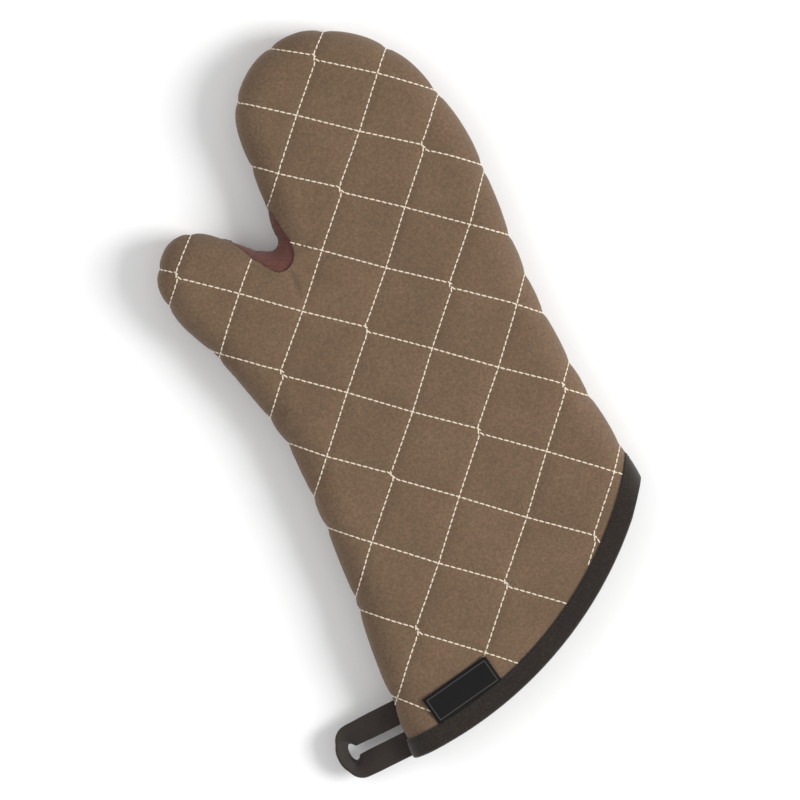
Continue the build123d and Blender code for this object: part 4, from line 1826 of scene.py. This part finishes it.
@dataclass
class HangLoop:
    """Webbing that leaves the cuff corner, turns back on its edge and is sewn in beside it."""

    form: Form
    stitches: StitchTree
    width: float = 15.4 * MM
    cloth: float = 1.5 * MM
    low_y: float = 10.2
    high_y: float = 30.6
    root_x: float = -80.0
    turn_x: float = -111.0
    turn_reach: float = 10.0
    squareness: float = 0.85
    bank: float = 63.0
    root_z: float = 19.0
    turn_z: float = 7.9
    leg_steps: int = 21
    turn_steps: int = 40
    lower_in: float = 1.0
    upper_in: float = 4.2
    leg_bank: float = 0.25
    bank_run: float = 0.9
    leg_run: float = 0.6
    table_gap: float = 0.1 * MM
    stitch_inset: float = 2.0 * MM
    swing_start: tuple = (-0.0795, -0.1956, 0.019)
    swing_end: tuple = (-0.0885, -0.1956, 0.019)

    def path(self) -> tuple:
        """The tape's middle line with its frames.

        Returns:
            Points, the directions across the tape, and its upward directions.
        """
        radius = (self.high_y - self.low_y) / 2.0
        middle_y = (self.high_y + self.low_y) / 2.0
        legs = np.linspace(0.0, 1.0, self.leg_steps + 1)[:-1]
        lower_x = self.root_x + self.lower_in + legs * (self.turn_x - self.root_x - self.lower_in)
        upper_x = self.turn_x + legs * (self.root_x + self.upper_in - self.turn_x)
        angles = np.linspace(0.0, math.pi, self.turn_steps)
        bulge = np.abs(np.sin(angles)) ** self.squareness
        rise = np.sign(np.cos(angles)) * np.abs(np.cos(angles)) ** self.squareness
        x = np.concatenate([lower_x, self.turn_x - self.turn_reach * bulge, upper_x[1:]])
        y = np.concatenate([np.full(self.leg_steps, self.low_y), middle_y - radius * rise,
                            np.full(self.leg_steps - 1, self.high_y)])
        share = np.clip((self.root_x - x) / (self.root_x - self.turn_x + self.turn_reach), 0.0, 1.0)
        z = self.root_z + (self.turn_z - self.root_z) * share
        points = np.column_stack([x * MM, (y - self.form.pattern.half_length) * MM, z * MM])
        tangent = unit(np.gradient(points, axis=0))
        for _ in range(2):
            tangent[1:-1] = unit(tangent[:-2] + tangent[1:-1] + tangent[2:])
        level = unit(np.cross(np.array([0.0, 0.0, 1.0]), tangent))
        upright = np.cross(tangent, level)
        turning_in = smoothstep(0.0, self.bank_run, angles)
        turning_out = smoothstep(math.pi - self.bank_run, math.pi, angles)
        turn = self.leg_bank + (1.0 - self.leg_bank) * np.minimum(turning_in, 1.0 - turning_out)
        before = self.leg_bank * smoothstep(self.leg_run, 1.0, legs)
        after = self.leg_bank * (1.0 - smoothstep(0.0, self.leg_run, legs[1:]))
        turned = np.concatenate([before, turn, after])
        bank = np.radians(self.bank) * turned
        across = level * np.cos(bank)[:, None] + upright * np.sin(bank)[:, None]
        up = np.cross(tangent, across)
        return points, across, up

    def build(self) -> None:
        """Make the loop and sew its edges."""
        points, across, up = self.path()
        half, thick = self.width / 2.0, self.cloth / 2.0
        outline = [(-half, 0.0), (-half + 0.3 * MM, thick * 0.8), (-half + 0.9 * MM, thick)]
        outline += [(s * half / 4.0, thick) for s in (-2, 0, 2)] + [(half - 0.9 * MM, thick)]
        outline += [(half - 0.3 * MM, thick * 0.8), (half, 0.0)]
        outline += [(x, -y) for x, y in reversed(outline[1:-1])]
        ring = len(outline)
        run = run_along(points)
        verts, flat = [], []
        for x, y in outline:
            verts.append(points + across * x + up * y)
            flat.append(np.column_stack([run, np.full(len(run), x)]))
        verts, flat = np.array(verts), np.array(flat)
        verts[..., 2] = np.maximum(verts[..., 2], self.table_gap)
        count = len(points)
        faces = []
        for s in range(ring):
            here, there = s * count, ((s + 1) % ring) * count
            faces += [(here + k, here + k + 1, there + k + 1, there + k) for k in range(count - 1)]
        faces += [[s * count for s in range(ring)], [s * count + count - 1 for s in reversed(range(ring))]]
        piece = mesh_object("hang_loop_tape", verts.reshape(-1, 3), faces, flat=flat.reshape(-1, 2))
        outward(piece)
        piece.data.materials.append(LOOP_TAPE.material())
        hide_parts("hang_loop")
        self.swing(piece)
        LOG.info("hang loop tape is %.0f mm long", run[-1] / MM)
        inset = half - self.stitch_inset
        rows = [(points + across * x + up * thick, up) for x in (-inset, inset)]
        stitching = self.stitches.sew("hang_loop_stitches", rows, BINDING_THREAD.material(),
                                      Pitch=0.0029, Length=0.0022, Width=0.0006, Height=0.0004)
        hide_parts("hang_loop_stitching")
        self.swing(stitching)

    def swing(self, piece: bpy.types.Object) -> None:
        """Bake a piece's placement into its mesh."""
        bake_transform(piece)


# --------------------------------------------------------------------------- studio


@dataclass
class Studio:
    """Pale floor, soft light from the lower right and a camera straight above."""

    up: tuple = (0.4617, 0.887)
    centre: tuple = (0.0116, -0.0154)
    field: float = 0.4917
    distance: float = 3.0
    sensor: float = 36.0
    mitt_z: float = 0.03
    key: tuple = ("key", (2.1, -1.1, 1.9), 1.3, 80.0)
    fill: tuple = ("fill", (-0.9, 0.7, 1.6), 1.4, 7.0)
    air: float = 0.58
    floor_reach: float = 6.0
    floor_z: float = -0.0002

    def build(self) -> None:
        """Set up the camera, the lights, the world and the floor."""
        data = bpy.data.cameras.new("studio_camera")
        data.sensor_width = self.sensor
        data.lens = self.sensor * self.distance / self.field
        camera = in_scene("studio_camera", data)
        camera.location = (*self.centre, self.distance + self.mitt_z)
        camera.rotation_euler = (0.0, 0.0, math.atan2(-self.up[0], self.up[1]))
        bpy.context.scene.camera = camera
        self.light(*self.key)
        self.light(*self.fill)
        world = bpy.data.worlds.new("studio_air")
        world.use_nodes = True
        background = world.node_tree.nodes["Background"]
        background.inputs["Color"].default_value = (1.0, 1.0, 1.0, 1.0)
        background.inputs["Strength"].default_value = self.air
        bpy.context.scene.world = world
        bpy.context.scene.view_settings.view_transform = "Standard"
        corners = np.array([(-1.0, -1.0), (1.0, -1.0), (1.0, 1.0), (-1.0, 1.0)]) * self.floor_reach
        floor = mesh_object("floor", np.column_stack([corners, np.full(4, self.floor_z)]), [(0, 1, 2, 3)])
        floor.data.materials.append(Sweep().material())

    def light(self, name: str, place: tuple, size: float, power: float) -> None:
        """A soft square light aimed at the mitt.

        Args:
            name: Its name.
            place: Where it hangs.
            size: Length of its side.
            power: Its power in watts.
        """
        data = bpy.data.lights.new(name, "AREA")
        data.size, data.energy = size, power
        lamp = in_scene(name, data)
        lamp.location = place
        lamp.rotation_euler = Vector(place).to_track_quat("Z", "Y").to_euler()


def main() -> None:
    """Build the mitt, piece by piece."""
    logging.basicConfig(level=logging.INFO, format="%(name)s: %(message)s")
    Studio().build()
    form = Form(Pattern(), Quilting())
    stitches = StitchTree()
    shell = Shell(form, stitches)
    finishes = {"outer": OUTER_CLOTH, "vapour_barrier": BARRIER, "batting": BATTING, "lining": LINING}
    for ply in shell.plies:
        shell.build_ply(ply, finishes[ply.name].material())
        LOG.info("%s done", ply.name)
    shell.quilt()
    shell.close_seam()
    shell.sew_guard()
    Cuff(form, stitches).build()
    Label(form).build()
    HangLoop(form, stitches).build()


if __name__ == "__main__":
    main()
